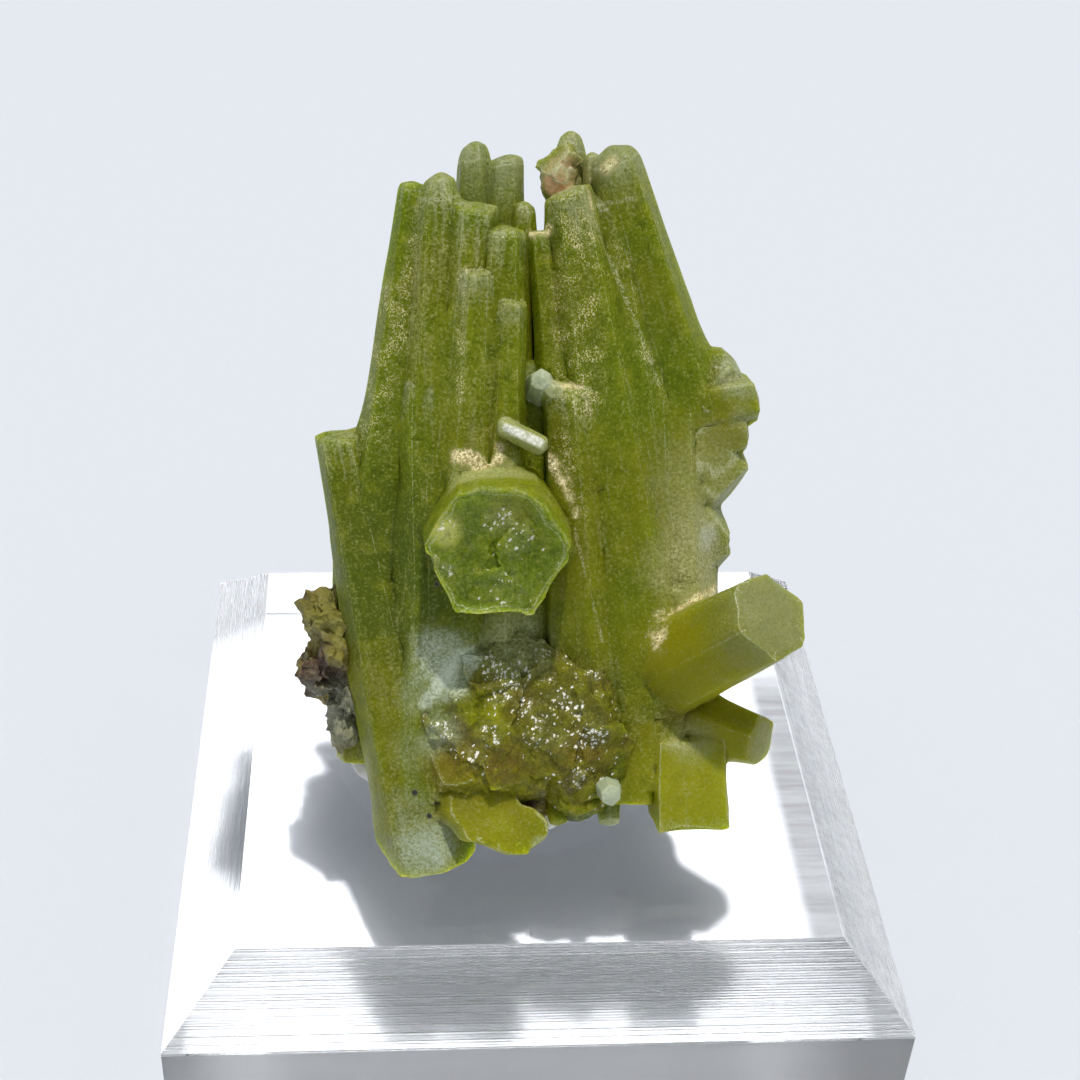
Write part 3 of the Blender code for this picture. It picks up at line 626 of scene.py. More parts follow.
def crystal_profile(length, root_radius, tip_radius, end_shape, step):
    """Places along a crystal and its radius there, in mm, with a softly domed end."""
    shoulder, end_share = end_shape
    middle_radius = BARREL * (root_radius + tip_radius) / 2
    count = max(4, round(shoulder * length / step))
    along = np.linspace(0, shoulder, count + 1)
    radius = np.interp(along, (0, MIDDLE, shoulder), (root_radius, middle_radius, tip_radius))
    turn = np.linspace(0.15, 1, 6)
    along = np.append(along, shoulder + (1 - shoulder) * np.sin(turn * pi / 2))
    radius = np.append(radius, tip_radius * (end_share + (1 - end_share) * np.cos(turn * pi / 2)))
    dome = np.linspace(0.8, 0.2, 4)
    rise = (0.05 + 0.7 * (1 - end_share)) * tip_radius * end_share / length
    along = np.append(along, 1 + rise * (1 - dome ** 2))
    radius = np.append(radius, tip_radius * end_share * dome)
    return along * length, radius


def roughen(x, y, z, side, radius, length, seed):
    """Growth relief of a crystal's sides in mm: fine ridges along it, steps and a slow unevenness."""
    across = max(radius, 0.01)
    ridge = noise.noise(Vector((x * 2.6 + seed, y * 2.6, z * 0.10)))
    fine = noise.noise(Vector((x * 6.0 + seed, y * 6.0, z * 0.22)))
    slow = noise.noise(Vector((x * 0.5, y * 0.5 + seed, z * 0.16)))
    terrace = 2.6 * z / length + 0.7 * noise.noise(Vector((side * 3.7, seed, z * 0.25)))
    terrace += 0.9 * noise.noise(Vector((side * 5.1 + 8.0, seed, 0.0)))
    sharp = terrace - np.floor(terrace)
    level = np.floor(terrace) + min(1.0, sharp / 0.08)
    return across * (0.07 * ridge + 0.02 * fine + 0.07 * slow - 0.028 * level)


def broken_height(at, size, tilt):
    """Height of a glassy break at a place: flat facets of the given size, each leaning its own way."""
    place = at / size
    centre = noise.voronoi(place)[1][0]
    lean = noise.cell_vector(centre * 40) * 2 - Vector((1, 1, 1))
    return size * tilt * (place - centre).dot(lean)


def crystal_frame(shape):
    """Root, length and turn of a crystal, in the cluster's frame in mm."""
    root, tip = Vector(shape[0]), Vector(shape[1])
    aim = Vector((0, 0, 1)).rotation_difference((tip - root).normalized())
    return root, (tip - root).length, aim @ Euler((0, 0, radians(shape[4]))).to_quaternion()


def parallel_growths(shape, seed, count, stand):
    """Thinner crystals that grew along the sides of a large one, and stand a little out of its faces."""
    root, length, aim = crystal_frame(shape)
    root_radius, tip_radius = shape[2] / 2, shape[3] / 2
    if root_radius + tip_radius < 2.2:
        return []
    generator = np.random.default_rng(seed)
    made = []
    for _ in range(count if root_radius + tip_radius > 3.4 else count - 1):
        angle = radians(30 * int(generator.integers(12)) + generator.uniform(-8, 8))
        way = aim @ Vector((cos(angle), sin(angle), 0))
        low, high = generator.uniform(0.0, 0.3), generator.uniform(0.55, 0.94)
        share = generator.uniform(0.28, 0.46)
        out = stand - share + generator.uniform(-0.04, 0.02)
        ends = []
        middle_radius = BARREL * (root_radius + tip_radius) / 2
        for place, sink in ((low, 0.0), (high, 0.12)):
            radius = np.interp(place, (0, MIDDLE, 1), (root_radius, middle_radius, tip_radius))
            centre = root + aim @ Vector((0, 0, place * length))
            ends.append((centre + way * ((out - sink) * radius), 2 * share * radius))
        (start, start_width), (end, end_width) = ends
        olive = min(1.0, max(0.0, shape[6] + generator.uniform(-0.15, 0.15)))
        made.append((start, end, start_width, end_width, shape[4], FADE_END, olive, shape[7]))
    return made


def hollow_end(along, radii, length, shoulder, tip_radius):
    """Hollow out the end of a crystal: its places, its radii and the number of the first ring inside."""
    keep = along <= length * shoulder
    shares = np.linspace(HOLLOW[0][0], HOLLOW_CENTRE, HOLLOW_RINGS)
    depths = np.interp(-shares, [-share for share, _ in HOLLOW], [depth for _, depth in HOLLOW])
    along = np.append(along[keep], length - depths)
    radii = np.append(radii[keep], tip_radius * shares)
    return along, radii, int(np.count_nonzero(keep)) + 2


def chipped(x, y):
    """A point of the hopper's rim, drawn in where the rim has lost a chip."""
    angle = np.arctan2(y, x)
    for turn, depth, spread in RIM_CHIPS:
        away = (angle - radians(turn) + pi) % (2 * pi) - pi
        chip = 1 - depth * np.exp(-(away / spread) ** 4)
        x, y = x * chip, y * chip
    return x, y


def hollow_floor(x, y):
    """Height of the facets on the floor of the hollow, large ones and small ones."""
    at = Vector((x, y, 0))
    return broken_height(at, 1.9, 0.16) + broken_height(at + Vector((5, 2, 0)), 0.8, 0.10)


def grow(name, shape, index, where, place, step, sides=6, fine=True, hollow=False):
    """Make one crystal as a closed mesh, with its own coordinates kept on its corners."""
    _, _, root_width, tip_width, _, end_shape, olive, pale = shape
    root, length, aim = crystal_frame(shape)
    along, radii = crystal_profile(length, root_width / 2, tip_width / 2, end_shape, step)
    if hollow:
        along, radii, first_hollow = hollow_end(along, radii, length, end_shape[0], tip_width / 2)
    ring = ring_of(sides, fine)
    per_side = len(ring) // sides
    top_edge = int(np.argmax(along > length * end_shape[0])) + 1
    seed = 17.3 * index
    generator = np.random.default_rng(index)
    lean_x, lean_y = generator.uniform(-0.22, 0.22, 2)
    verts, grain, rim = [], [], []
    for number, (z, radius) in enumerate(zip(along, radii)):
        crown = max(0.0, (z / length - 0.84) / 0.16)
        for spot, (x, y, side) in enumerate(ring):
            px, py, pz = x * radius, y * radius, z
            if fine or root_width > 1.2:
                lift = roughen(px, py, z, side, radius, length, seed)
                px += x * lift
                py += y * lift
            if hollow:
                if z > length - CHIP_REACH:
                    px, py = chipped(px, py)
                if number >= first_hollow:
                    fade = min(1.0, (number - first_hollow) / 3)
                    pz = min(pz + fade * hollow_floor(px, py), length - HOLLOW_BRIM)
            elif crown:
                pz += crown * (lean_x * px + lean_y * py)
                pz += crown * radius * 0.16 * noise.noise(Vector((px * 1.1 + seed, py * 1.1, 4.0)))
            verts.append(Vector((px, py, pz)))
            grain.append((px + seed, py, pz))
            crowning = number == (first_hollow if hollow else top_edge)
            along_edge = not hollow and spot % per_side == 0 and number <= len(along) - 5
            strong = name in OUTLINED or name in CROWNED and number >= top_edge
            rim.append((2.0 if strong else 1.0) if crowning or along_edge else 0.0)
    n = len(ring)
    faces = [
        (j * n + k, j * n + (k + 1) % n, (j + 1) * n + (k + 1) % n, (j + 1) * n + k)
        for j in range(len(along) - 1) for k in range(n)
    ]
    for base, flip in ((0, True), ((len(along) - 1) * n, False)):
        centre = len(verts)
        verts.append(sum(verts[base:base + n], Vector()) / n)
        grain.append((seed, 0, verts[-1].z))
        rim.append(0.0)
        for k in range(n):
            pair = (base + k, base + (k + 1) % n)
            faces.append((*(reversed(pair) if flip else pair), centre))
    share = np.clip(np.array([point[2] for point in grain]) / length, 0, 1)
    kind = np.column_stack((share, np.full(len(share), olive), np.full(len(share), pale)))
    spots = [place @ (root + aim @ point) for point in verts]
    broken = np.zeros(len(faces))
    if hollow:
        broken[(first_hollow - 1) * n:] = 0.8
        broken[-2 * n:-n] = 0.0
    return new_piece(name, spots, faces, where, grain, kind, rim, broken)


def new_piece(name, spots, faces, where, grain, kind, rim, broken):
    """Turn points and faces into an object that keeps its growth coordinates through a union."""
    mesh = bpy.data.meshes.new(name)
    mesh.from_pydata(spots, [], faces)
    corners = values_of(mesh.loops, "vertex_index", kind=np.int32)
    for key, values in (("grain", np.array(grain)), ("growth", np.array(kind))):
        layer = mesh.attributes.new(key, "FLOAT_VECTOR", "CORNER")
        layer.data.foreach_set("vector", values[corners].astype(np.float32).ravel())
    layer = mesh.attributes.new("rim", "FLOAT", "CORNER")
    layer.data.foreach_set("value", np.array(rim)[corners].astype(np.float32))
    layer = mesh.attributes.new("broken", "FLOAT", "FACE")
    layer.data.foreach_set("value", np.broadcast_to(broken, len(mesh.polygons)).astype(np.float32))
    mesh.update()
    return add_object(name, mesh, where)


def covered(name, at):
    """Whether a point of a lump lies inside another of the plain lumps, or just on it."""
    for other, (centre, radii, *_) in PLAIN_LUMPS.items():
        if other != name and sum(((at[axis] - centre[axis]) / radii[axis]) ** 2 for axis in range(3)) < 1.08:
            return True
    return False


def lump(name, shape, index, where, place, levels, grain_size, facets):
    """A rough lump: a stretched sphere whose surface is moved by noise and broken into facets."""
    centre, radii = Vector(shape[0]), Vector(shape[1])
    relief, olive, pale, broken = shape[2:]
    bm = bmesh.new()
    bmesh.ops.create_icosphere(bm, subdivisions=levels, radius=1)
    spots, grain, rim = [], [], []
    cleaved = [(Vector(at), Vector(way).normalized()) for at, way in CLEAVED.get(name, ())]
    for vert in bm.verts:
        way = vert.co.normalized()
        point = Vector((way.x * radii.x, way.y * radii.y, way.z * radii.z))
        at = (centre + point) / grain_size
        rough = noise.noise(at) + 0.5 * noise.noise(at * 2.3) + 0.15 * noise.noise(at * 4.9)
        at = centre + point
        for size, tilt in facets:
            rough += broken_height(at, size, tilt) / FACET_RELIEF
        point = point + way * (relief * rough)
        corner = 0.0
        for face_point, face_way in cleaved:
            beyond = (centre + point - face_point).dot(face_way)
            point -= face_way * max(0.0, beyond)
            corner = max(corner, 2.0 - abs(beyond) / CLEAVED_LINE)
        rim.append(0.0 if covered(name, centre + point) else corner)
        grain.append(tuple(point + Vector((7.7 * index, 0, 0))))
        spots.append(place @ (centre + point))
    faces = [[vert.index for vert in face.verts] for face in bm.faces]
    bm.free()
    kind = np.tile((0.4, olive, pale), (len(spots), 1))
    return new_piece(name, spots, faces, where, grain, kind, rim, broken)


def cutter_below(level, side):
    """A slab whose top is at the given height."""
    cutters = new_group("cutters")
    bm = bmesh.new()
    place = Matrix.Translation((0, 0, level - side / 4)) @ Matrix.Diagonal((side, side, side / 2, 1))
    bmesh.ops.create_cube(bm, size=1, matrix=place)
    add_object("underside_cutter", mesh_of(bm, "underside_cutter"), cutters)
    return cutters


def fuse(name, growths, level):
    """Join a collection of closed meshes into one skin, cut it off below and return the new object."""
    first = growths.objects[0]
    growths.objects.unlink(first)
    bpy.context.scene.collection.objects.link(first)
    cutters = cutter_below(level, 0.06)
    for operation, others in (("UNION", growths), ("DIFFERENCE", cutters)):
        if not others.objects:
            continue
        step = first.modifiers.new(operation.lower(), "BOOLEAN")
        step.operation = operation
        step.operand_type = "COLLECTION"
        step.collection = others
        step.solver = "MANIFOLD"
    graph = bpy.context.evaluated_depsgraph_get()
    mesh = bpy.data.meshes.new_from_object(first.evaluated_get(graph))
    for group in (growths, cutters):
        for helper in list(group.objects):
            bpy.data.objects.remove(helper, do_unlink=True)
        bpy.data.collections.remove(group)
    bpy.data.objects.remove(first, do_unlink=True)
    bm = bmesh.new()
    bm.from_mesh(mesh)
    bmesh.ops.dissolve_degenerate(bm, dist=1e-6, edges=bm.edges)
    bmesh.ops.triangulate(bm, faces=[face for face in bm.faces if len(face.verts) > 4])
    bm.to_mesh(mesh)
    bm.free()
    mesh.name = name
    return add_object(name, mesh)


def fill_grooves(mesh, rounds, strength):
    """Raise the bottoms of the grooves between crystals, and leave edges and broken surfaces alone."""
    count = len(mesh.vertices)
    edges = values_of(mesh.edges, "vertices", 2, np.int32)
    one, two = edges.T
    degree = np.bincount(edges.ravel(), minlength=count).astype(float)
    broken = values_of(mesh.attributes["broken"].data, "value")
    sizes = values_of(mesh.polygons, "loop_total", kind=np.int32)
    corners = values_of(mesh.loops, "vertex_index", kind=np.int32)
    kept = np.zeros(count)
    np.maximum.at(kept, corners, np.repeat(broken, sizes))
    free = (kept < 0.1) * strength
    places = values_of(mesh.vertices, "co", 3)
    free[places[:, 2] < KEPT_FOOT] = 0
    for _ in range(rounds):
        way = values_of(mesh.vertex_normals, "vector", 3)
        middle = np.column_stack([
            np.bincount(one, places[two, axis], count) + np.bincount(two, places[one, axis], count)
            for axis in range(3)
        ]) / degree[:, None]
        rise = np.clip(np.einsum("ij,ij->i", middle - places, way), 0, 0.0001) * free
        places = (places + rise[:, None] * way).astype(np.float32)
        mesh.vertices.foreach_set("co", places.ravel())
        mesh.update()


def read_surface(mesh, reach, rays):
    """Store on the mesh how open each point is and how sharply its surface turns there."""
    count = len(mesh.vertices)
    places = values_of(mesh.vertices, "co", 3)
    normals = values_of(mesh.vertex_normals, "vector", 3)
    edges = values_of(mesh.edges, "vertices", 2, np.int32)
    way = places[edges[:, 1]] - places[edges[:, 0]]
    size = np.linalg.norm(way, axis=1) + 1e-9
    turn = np.zeros(count)
    seen = np.zeros(count) + 1e-6
    for one, sign in ((0, -1), (1, 1)):
        bend = sign * np.einsum("ij,ij->i", way, normals[edges[:, one]]) / size
        np.add.at(turn, edges[:, one], bend)
        np.add.at(seen, edges[:, one], 1)
    tree = BVHTree.FromPolygons(
        [Vector(place) for place in places.tolist()], [tuple(face.vertices) for face in mesh.polygons],
    )
    generator = np.random.default_rng(5)
    open_share = np.zeros(count, dtype=np.float32)
    spread = generator.normal(size=(rays, 3))
    spread /= np.linalg.norm(spread, axis=1)[:, None]
    for index in range(count):
        normal = Vector(normals[index])
        start = Vector(places[index]) + normal * 0.00003
        free = 0.0
        for ray in spread:
            way = (normal + 0.95 * Vector(ray)).normalized()
            hit = tree.ray_cast(start, way, reach)
            free += 1.0 if hit[0] is None else hit[3] / reach
        open_share[index] = free / rays
    for key, values in (("open", open_share), ("edge", turn / seen)):
        layer = mesh.attributes.new(key, "FLOAT", "POINT")
        layer.data.foreach_set("value", values.astype(np.float32))


def smooth_faces(mesh, angle):
    """Shade smooth up to an angle and keep sharper edges."""
    mesh.polygons.foreach_set("use_smooth", [True] * len(mesh.polygons))
    mesh.set_sharp_from_angle(angle=radians(angle))


def settle(piece, material, slot, *nodes):
    """Give a piece its material and its body, and hide the nodes that it stands for. The slot is not used."""
    piece.data.materials.clear()
    piece.data.materials.append(material)
    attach(piece, BODY)
    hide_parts(*nodes)


def crystal_material(settings):
    """Translucent green under a thin pale bloom, with golden specks, crusts and stains, and painted glints,
    highlights and shade.
    """
    looks = Looks("green_crystal")
    grain = looks.attribute("grain")
    share, olive, pale = looks.split(looks.attribute("growth"))
    broken, openness, edge, line = (
        looks.attribute(name, "Fac") for name in ("broken", "open", "edge", "rim")
    )
    where = looks.place()
    sound = 1 - broken
    streak = looks.noise(grain, 3.2, 2.0, 0.65, (1, 1, 0.06))
    cloud = looks.noise(where, 0.22 / MM, 2.0, 0.5)
    blotch = looks.noise(where, 0.5 / MM, 2.0, 0.6)
    mottle = looks.noise(where, 1.5 / MM, 3.0, 0.65)
    dust = (looks.noise(where, 8.0 / MM, 2.0, 0.75) - 0.5) * 0.8 + 0.5
    bent = looks.vector("ADD", where, (dust - 0.5) * 0.3 * MM)
    flakes = looks.cells(bent, 7.0 / MM, "F1", "Color", (1, 1, 0.9))
    chance, size, _ = looks.split(flakes)
    near = Wire(looks, flakes.socket.node.outputs["Distance"])
    torn = looks.noise(grain, 13.0, 1.0, 0.5).step(0.42, 0.58)
    ragged = (blotch - 0.5) * 0.6 + (mottle - 0.5) * 0.8
    crumbled = (mottle - 0.5) * 2.8 + (dust - 0.5) * 4.0
    clear = olive.step(0.62, 0.78) * sound
    calm = sound * reduce(Wire.over, (
        looks.spot(where, in_row(centre), radius, 0.0, 0.4) for centre, radius in CALM
    ))
    # Painted shade: the pale coat, specks and edge highlights keep to open places, so recesses show the
    # deeper, saturated green of shade and of light glowing through.
    unshaded_openness = openness.step(0.35, 0.95)
    ridge = edge.step(0.03, 0.22)

    # Colour inside the crystals, with painted shade on the left side of the left bundle
    body = looks.mix((olive + (cloud - 0.5) * 1.6).clamp(), tuple(settings.leaf), tuple(settings.olive))
    glassy = looks.mix(olive.step(0.4, 0.7), (0.13, 0.20, 0.004), (0.21, 0.19, 0.010))
    body = looks.mix(broken * 0.7, body, glassy)
    body = looks.mix(blotch.step(0.50, 0.60) * broken * olive * 0.9, body, (0.11, 0.080, 0.016))
    body = looks.mix(((0.50 - blotch) * 8.0).clamp() * broken * 0.85, body, (0.055, 0.085, 0.004))
    for centre, radius, tint, strength in INNER_STAINS:
        body = looks.mix(looks.spot(where, in_row(centre), radius, ragged) * strength, body, tint)
    busy = (0.55 - clear * 0.38) * (1 - calm * 0.35)
    for amount, tint in (
        ((mottle - 0.51) * 5.0, (0.29, 0.31, 0.012)), ((0.49 - mottle) * 5.0, (0.075, 0.11, 0.003)),
        ((0.48 - dust) * 7.0, (0.05, 0.075, 0.002)), ((dust - 0.53) * 6.0, (0.38, 0.39, 0.03)),
    ):
        body = looks.mix(amount.clamp() * busy, body, tint)

    # Pale coat on the outer faces, kept out of recesses as painted shade
    bloom = pale * 1.2 - 0.42 + (streak - 0.5) * 2.8 + (cloud - 0.5) * 1.6 + (dust - 0.5) * 3.2
    tip = share.step(0.86, 0.99) * 0.6
    cover = ((bloom + tip) * unshaded_openness).clamp() * 0.7 * sound * (1 - clear * 0.7) * (1 - calm * 0.4)
    coat = looks.mix(((dust - 0.45) * 3.0).clamp(), tuple(settings.bloom), (0.42, 0.41, 0.16))
    coat = looks.mix(tip, coat, (0.42, 0.44, 0.26))
    gritty = ((dust - 0.38) * 5.0).clamp() * 0.5 + 0.5
    for centre, radius, tint, strength in OUTER_STAINS:
        stain = looks.spot(where, in_row(centre), radius, ragged) * gritty * strength
        coat, cover = looks.lay((coat, cover), stain, tint)
    milky = ((pale - 0.6) * 2.6).clamp() * 0.8
    milk = looks.mix(olive.step(0.1, 0.3), (0.50, 0.58, 0.42), (0.50, 0.53, 0.22))
    coat, cover = looks.lay((coat, cover), milky, milk)
    # The stripes hold a painted highlight on the loose prism and painted light on the hopper's up-facing face.
    for start, end, radius, tint, strength in TINTED_STRIPES:
        stain = looks.stripe(where, in_row(start), in_row(end), radius, ragged * 0.5) * gritty * strength
        coat, cover = looks.lay((coat, cover), stain, tint)

    # Painted highlights along edges
    edge_highlight = line.step(0.55, 0.95) * torn * unshaded_openness * sound * (0.35 + share.step(0.3, 0.8) * 0.65)
    edge_highlight = edge_highlight.over(line.step(1.1, 1.7) * (torn * 0.6 + 0.4))
    for start, end, radius in EDGE_HIGHLIGHTS:
        edge_highlight = edge_highlight.over(looks.stripe(where, in_row(start), in_row(end), radius) * torn)
    coat = looks.mix(edge_highlight * 0.85, coat, (0.52, 0.54, 0.30))
    cover = cover.over(edge_highlight * 0.6)

    # Golden specks, partly painted glints of tiny crystal edges, and crusts
    band = blotch.step(0.46, 0.70) * 0.3
    for start, end, radius, strength in SPECK_BANDS:
        band = band.over(looks.stripe(where, in_row(start), in_row(end), radius, ragged) * strength)
    lattice = looks.cells(grain, 11.0, "DISTANCE_TO_EDGE", "Distance", (1, 1, 0.75))
    cluster = ((mottle - 0.46) * 8.0).clamp() * 0.8 + 0.2
    speck = (1 - lattice.step(0.03, 0.13)) * torn * cluster * (band + ridge * 0.25 + 0.03).clamp()
    speck = (speck * sound * unshaded_openness * 1.7 * (1 - calm * 0.6)).clamp()
    coat, cover = looks.lay((coat, cover), speck, tuple(settings.druse))
    gold = looks.mix(((dust - 0.44) * 11.0).clamp(), (0.36, 0.29, 0.08), (1.0, 0.88, 0.48))
    crust = reduce(Wire.over, (
        looks.stripe(where, in_row(start), in_row(end), radius, crumbled) * strength
        for start, end, radius, strength in CRUSTS
    ))
    coat, cover = looks.lay((coat, cover), crust, gold)

    # Glints, painted as white flecks and made by tilted facets, and dark grains on broken surfaces
    glint = reduce(Wire.over, (
        looks.spot(where, in_row(centre), radius, ragged, 0.6) * strength
        for centre, radius, strength in GLINTS
    ))
    halo = glint * ((mottle - 0.45) * 6.0).clamp() * 0.3 * broken
    coat, cover = looks.lay((coat, cover), halo, (0.34, 0.35, 0.19))
    lit = (chance + glint * 0.62 + (mottle - 0.5) * 1.3 + (broken - 1) * 0.4).step(0.98, 1.02)
    painted_glint = lit * (1 - (near - size * 0.4).step(0.15, 0.3)) * broken
    coat = looks.mix(painted_glint, coat, (0.96, 0.94, 0.82))
    dark = reduce(Wire.over, (
        looks.spot(where, in_row(centre), 0.13, (mottle - 0.5) * 1.5, 0.3) for centre in DARK_GRAINS
    ))
    coat, cover = looks.lay((coat, cover), dark, (0.02, 0.018, 0.012))
    sparkle = looks.node(
        "ShaderNodeMix", {"data_type": "FLOAT"},
        {0: broken, 2: ((dust - 0.56) * 16.0).clamp() * 0.4, 3: (glint + 0.12).clamp() * size},
    )
    coat = looks.mix(sparkle * (1 - cover.over(painted_glint)), coat, body)
    cover = cover.over(painted_glint * 0.95).over(sparkle * 0.7)

    # Relief and the two surfaces
    height = dust * sound * 0.045 + mottle * (broken * 0.22 + 0.03)
    normal = looks.bump(height, 1.0)
    shiny = looks.facets(normal, flakes, sparkle.over(crust) * 1.2, 0.35)
    rough = 0.40 + (mottle - 0.5) * 0.5 - broken * 0.26
    inner = looks.surface(
        Base_Color=body, Roughness=rough.clamp(), IOR=1.5, Specular_IOR_Level=0.12, Subsurface_Weight=0.9,
        Subsurface_Radius=(0.8, 1.0, 0.06), Subsurface_Scale=0.0022, Normal=normal,
    )
    outer = looks.surface(
        Base_Color=coat, Roughness=(0.5 - sparkle * 0.36).clamp(), IOR=1.6, Specular_IOR_Level=0.5,
        Normal=shiny,
    )
    return looks.finish(looks.node("ShaderNodeMixShader", {}, {0: cover, 1: inner, 2: outer}))


def rock_material(settings):
    """Dark iron-stained crust with ochre, yellow-green and pale grey parts."""
    looks = Looks("iron_stained_rock")
    where = looks.place()
    broad = looks.noise(where, 0.38 / MM, 4.0, 0.6)
    fine = looks.noise(where, 2.4 / MM, 5.0, 0.65)
    pits = looks.cells(where, 3.2 / MM, "F1", "Distance")
    ragged = (looks.noise(where, 1.2 / MM, 4.0, 0.65) - 0.5) * 0.9
    colour = looks.mix(broad.step(0.40, 0.58), tuple(settings.brown), tuple(settings.ochre))
    colour = looks.mix(fine.step(0.50, 0.66) * 0.7, colour, (0.34, 0.31, 0.16))
    for centre, radius, tint, strength in ROCK_STAINS:
        colour = looks.mix(looks.spot(where, in_row(centre), radius, ragged) * strength, colour, tint)
    colour = looks.mix(pits.step(0.0, 0.22), (0.05, 0.03, 0.018), colour)
    normal = looks.bump(fine, 0.22)
    normal = looks.bump(pits, 0.12, normal)
    normal = looks.bump(looks.noise(where, 9.0 / MM, 3.0, 0.6), 0.04, normal)
    rough = 0.55 + (fine - 0.5) * 0.5
    return looks.finish(looks.surface(Base_Color=colour, Roughness=rough.clamp(), IOR=1.55, Normal=normal))


def putty_material(settings):
    """Soft white tack with finger-pressed dents."""
    looks = Looks("white_putty")
    where = looks.place()
    dents = looks.noise(where, 0.8 / MM, 3.0, 0.5)
    skin = looks.noise(where, 7.0 / MM, 3.0, 0.6)
    white = tuple(settings.white)
    colour = looks.mix((dents - 0.4).clamp(), white, tuple(0.86 * part for part in white))
    normal = looks.bump(skin, 0.03, looks.bump(dents, 0.15))
    return looks.finish(looks.surface(
        Base_Color=colour, Roughness=0.55 + (skin - 0.5) * 0.2, Subsurface_Weight=0.3,
        Subsurface_Radius=(1, 1, 1), Subsurface_Scale=0.0008, Normal=normal,
    ))


def block_material(settings):
    """Clear acrylic: polished on top, sanded at the sides, milled on the bevels, with painted shade in the
    light through it.
    """
    looks = Looks("clear_acrylic")
    where = looks.place()
    x, y, z = looks.split(where)
    bevel = looks.attribute("bevel", "Fac")
    side = looks.attribute("side", "Fac")
    streak_x = looks.noise(where, 9.0 / MM, 2.0, 0.6, (0.002, 1, 1))
    streak_y = looks.noise(where, 9.0 / MM, 2.0, 0.6, (1, 0.002, 1))
    facing = looks.attribute("along", "Fac")
    streak = streak_x * facing + streak_y * (1 - facing)
    sanded = looks.noise(looks.vector("ADD", where, (0.3, 0.1, 0.2)), 5.0 / MM, 3.0, 0.6, (0.35, 0.35, 0.35))
    rough = bevel * (0.20 + streak * 0.14) + side * (0.30 + sanded * 0.10)
    normal = looks.bump(streak * 0.003 + sanded * side * 0.0012, 1.0)
    # Painted shade in the light through the block: grey on the sides, more on the front and back sides, grey
    # on the left and right bevels, and a painted shadow band on the top face along the right bevel that fades
    # towards the back. Places in metres: the bevels start 12.2 mm from its middle.
    left = (0 - x).step(0.0118, 0.0124) * 0.4
    cross = bevel * (1 - facing)
    top = (1 - bevel) * (1 - side) * z.step(0.0095, 0.0099)
    inner = x.step(0.0101, 0.0112) * (1 - y.step(0.002, 0.009)) * top
    ripple = looks.noise(where, 2.2 / MM, 2.0, 0.6, (0.1, 1, 1)) - 0.5
    right = x.step(0.0118, 0.0124) * (0.95 - x.step(0.0126, 0.0146) * 0.07 + ripple * 0.25)
    grey = side * (0.35 + facing * 0.33) + cross * (right + left) + inner * (0.9 + ripple * 0.25)
    colour = looks.mix(grey.clamp(), tuple(settings.clarity), (0.05, 0.051, 0.05))
    return looks.finish(looks.surface(
        Base_Color=colour, Roughness=rough.clamp(), IOR=1.49, Transmission_Weight=1.0, Normal=normal,
    ))


# Parts of the block's outline
SOFT_EDGE, SANDED_SIDE, MILLED_BEVEL = range(3)


def block_outline(settings):
    """From the foot of the block to its top: half the width there, the height, and the part of the outline."""
    half, height, bevel = settings.side / 2, settings.height, settings.bevel
    low = height - bevel
    soft = 0.00010
    outline = [(half - soft, 0.0, SOFT_EDGE), (half, soft, SOFT_EDGE)]
    outline += [(half, share * low, SANDED_SIDE) for share in np.linspace(0.05, 0.98, 8)]
    count = settings.ridges * 4
    generator = np.random.default_rng(11)
    depths = generator.uniform(0.4, 1.6, settings.ridges + 1)
    for step in range(count + 1):
        share = step / count
        phase = 2 * pi * share * settings.ridges
        depth = settings.ridge_depth * depths[min(int(share * settings.ridges), settings.ridges)]
        lift = depth * (cos(phase) - 1) / 2
        outline.append((half - bevel * share + lift * 0.7, low + bevel * share + lift * 0.7, MILLED_BEVEL))
    outline.append((half - bevel - soft, height, SOFT_EDGE))
    return outline


def stacked_squares(name, outline, cuts):
    """Mesh of square rings, with cuts along each side. Its faces keep their part and their direction."""
    corners = ((1, 1), (-1, 1), (-1, -1), (1, -1))
    bm = bmesh.new()
    bevel_layer = bm.faces.layers.float.new("bevel")
    side_layer = bm.faces.layers.float.new("side")
    along_layer = bm.faces.layers.float.new("along")
    rings = []
    for reach, level, _ in outline:
        square = [Vector((x * reach, y * reach, level)) for x, y in corners]
        rings.append([
            bm.verts.new(square[k].lerp(square[(k + 1) % 4], cut / cuts))
            for k in range(4) for cut in range(cuts)
        ])
    for j in range(len(rings) - 1):
        parts = (outline[j][2], outline[j + 1][2])
        for k in range(4 * cuts):
            after = (k + 1) % (4 * cuts)
            face = bm.faces.new((rings[j][k], rings[j][after], rings[j + 1][after], rings[j + 1][k]))
            face[bevel_layer] = float(parts == (MILLED_BEVEL, MILLED_BEVEL))
            face[side_layer] = float(parts == (SANDED_SIDE, SANDED_SIDE))
            face[along_layer] = float((k // cuts) % 2 == 0)
    bm.faces.new(list(reversed(rings[0])))
    bm.faces.new(rings[-1])
    bmesh.ops.recalc_face_normals(bm, faces=bm.faces)
    return mesh_of(bm, name)


class SPECIMEN_OT_display_block(bpy.types.Operator):
    """Mill the clear block from stacked square outlines, with cutter marks across its bevels"""

    bl_idname = "specimen.display_block"
    bl_label = "Display block"

    def execute(self, context):
        settings = context.scene.specimen_block
        mesh = stacked_squares("acrylic_block", block_outline(settings), cuts=24)
        block = add_object("acrylic_block", mesh)
        smooth_faces(mesh, angle=30)
        block.visible_shadow = False
        settle(block, block_material(settings), "clear_acrylic", "display_base")
        return {"FINISHED"}


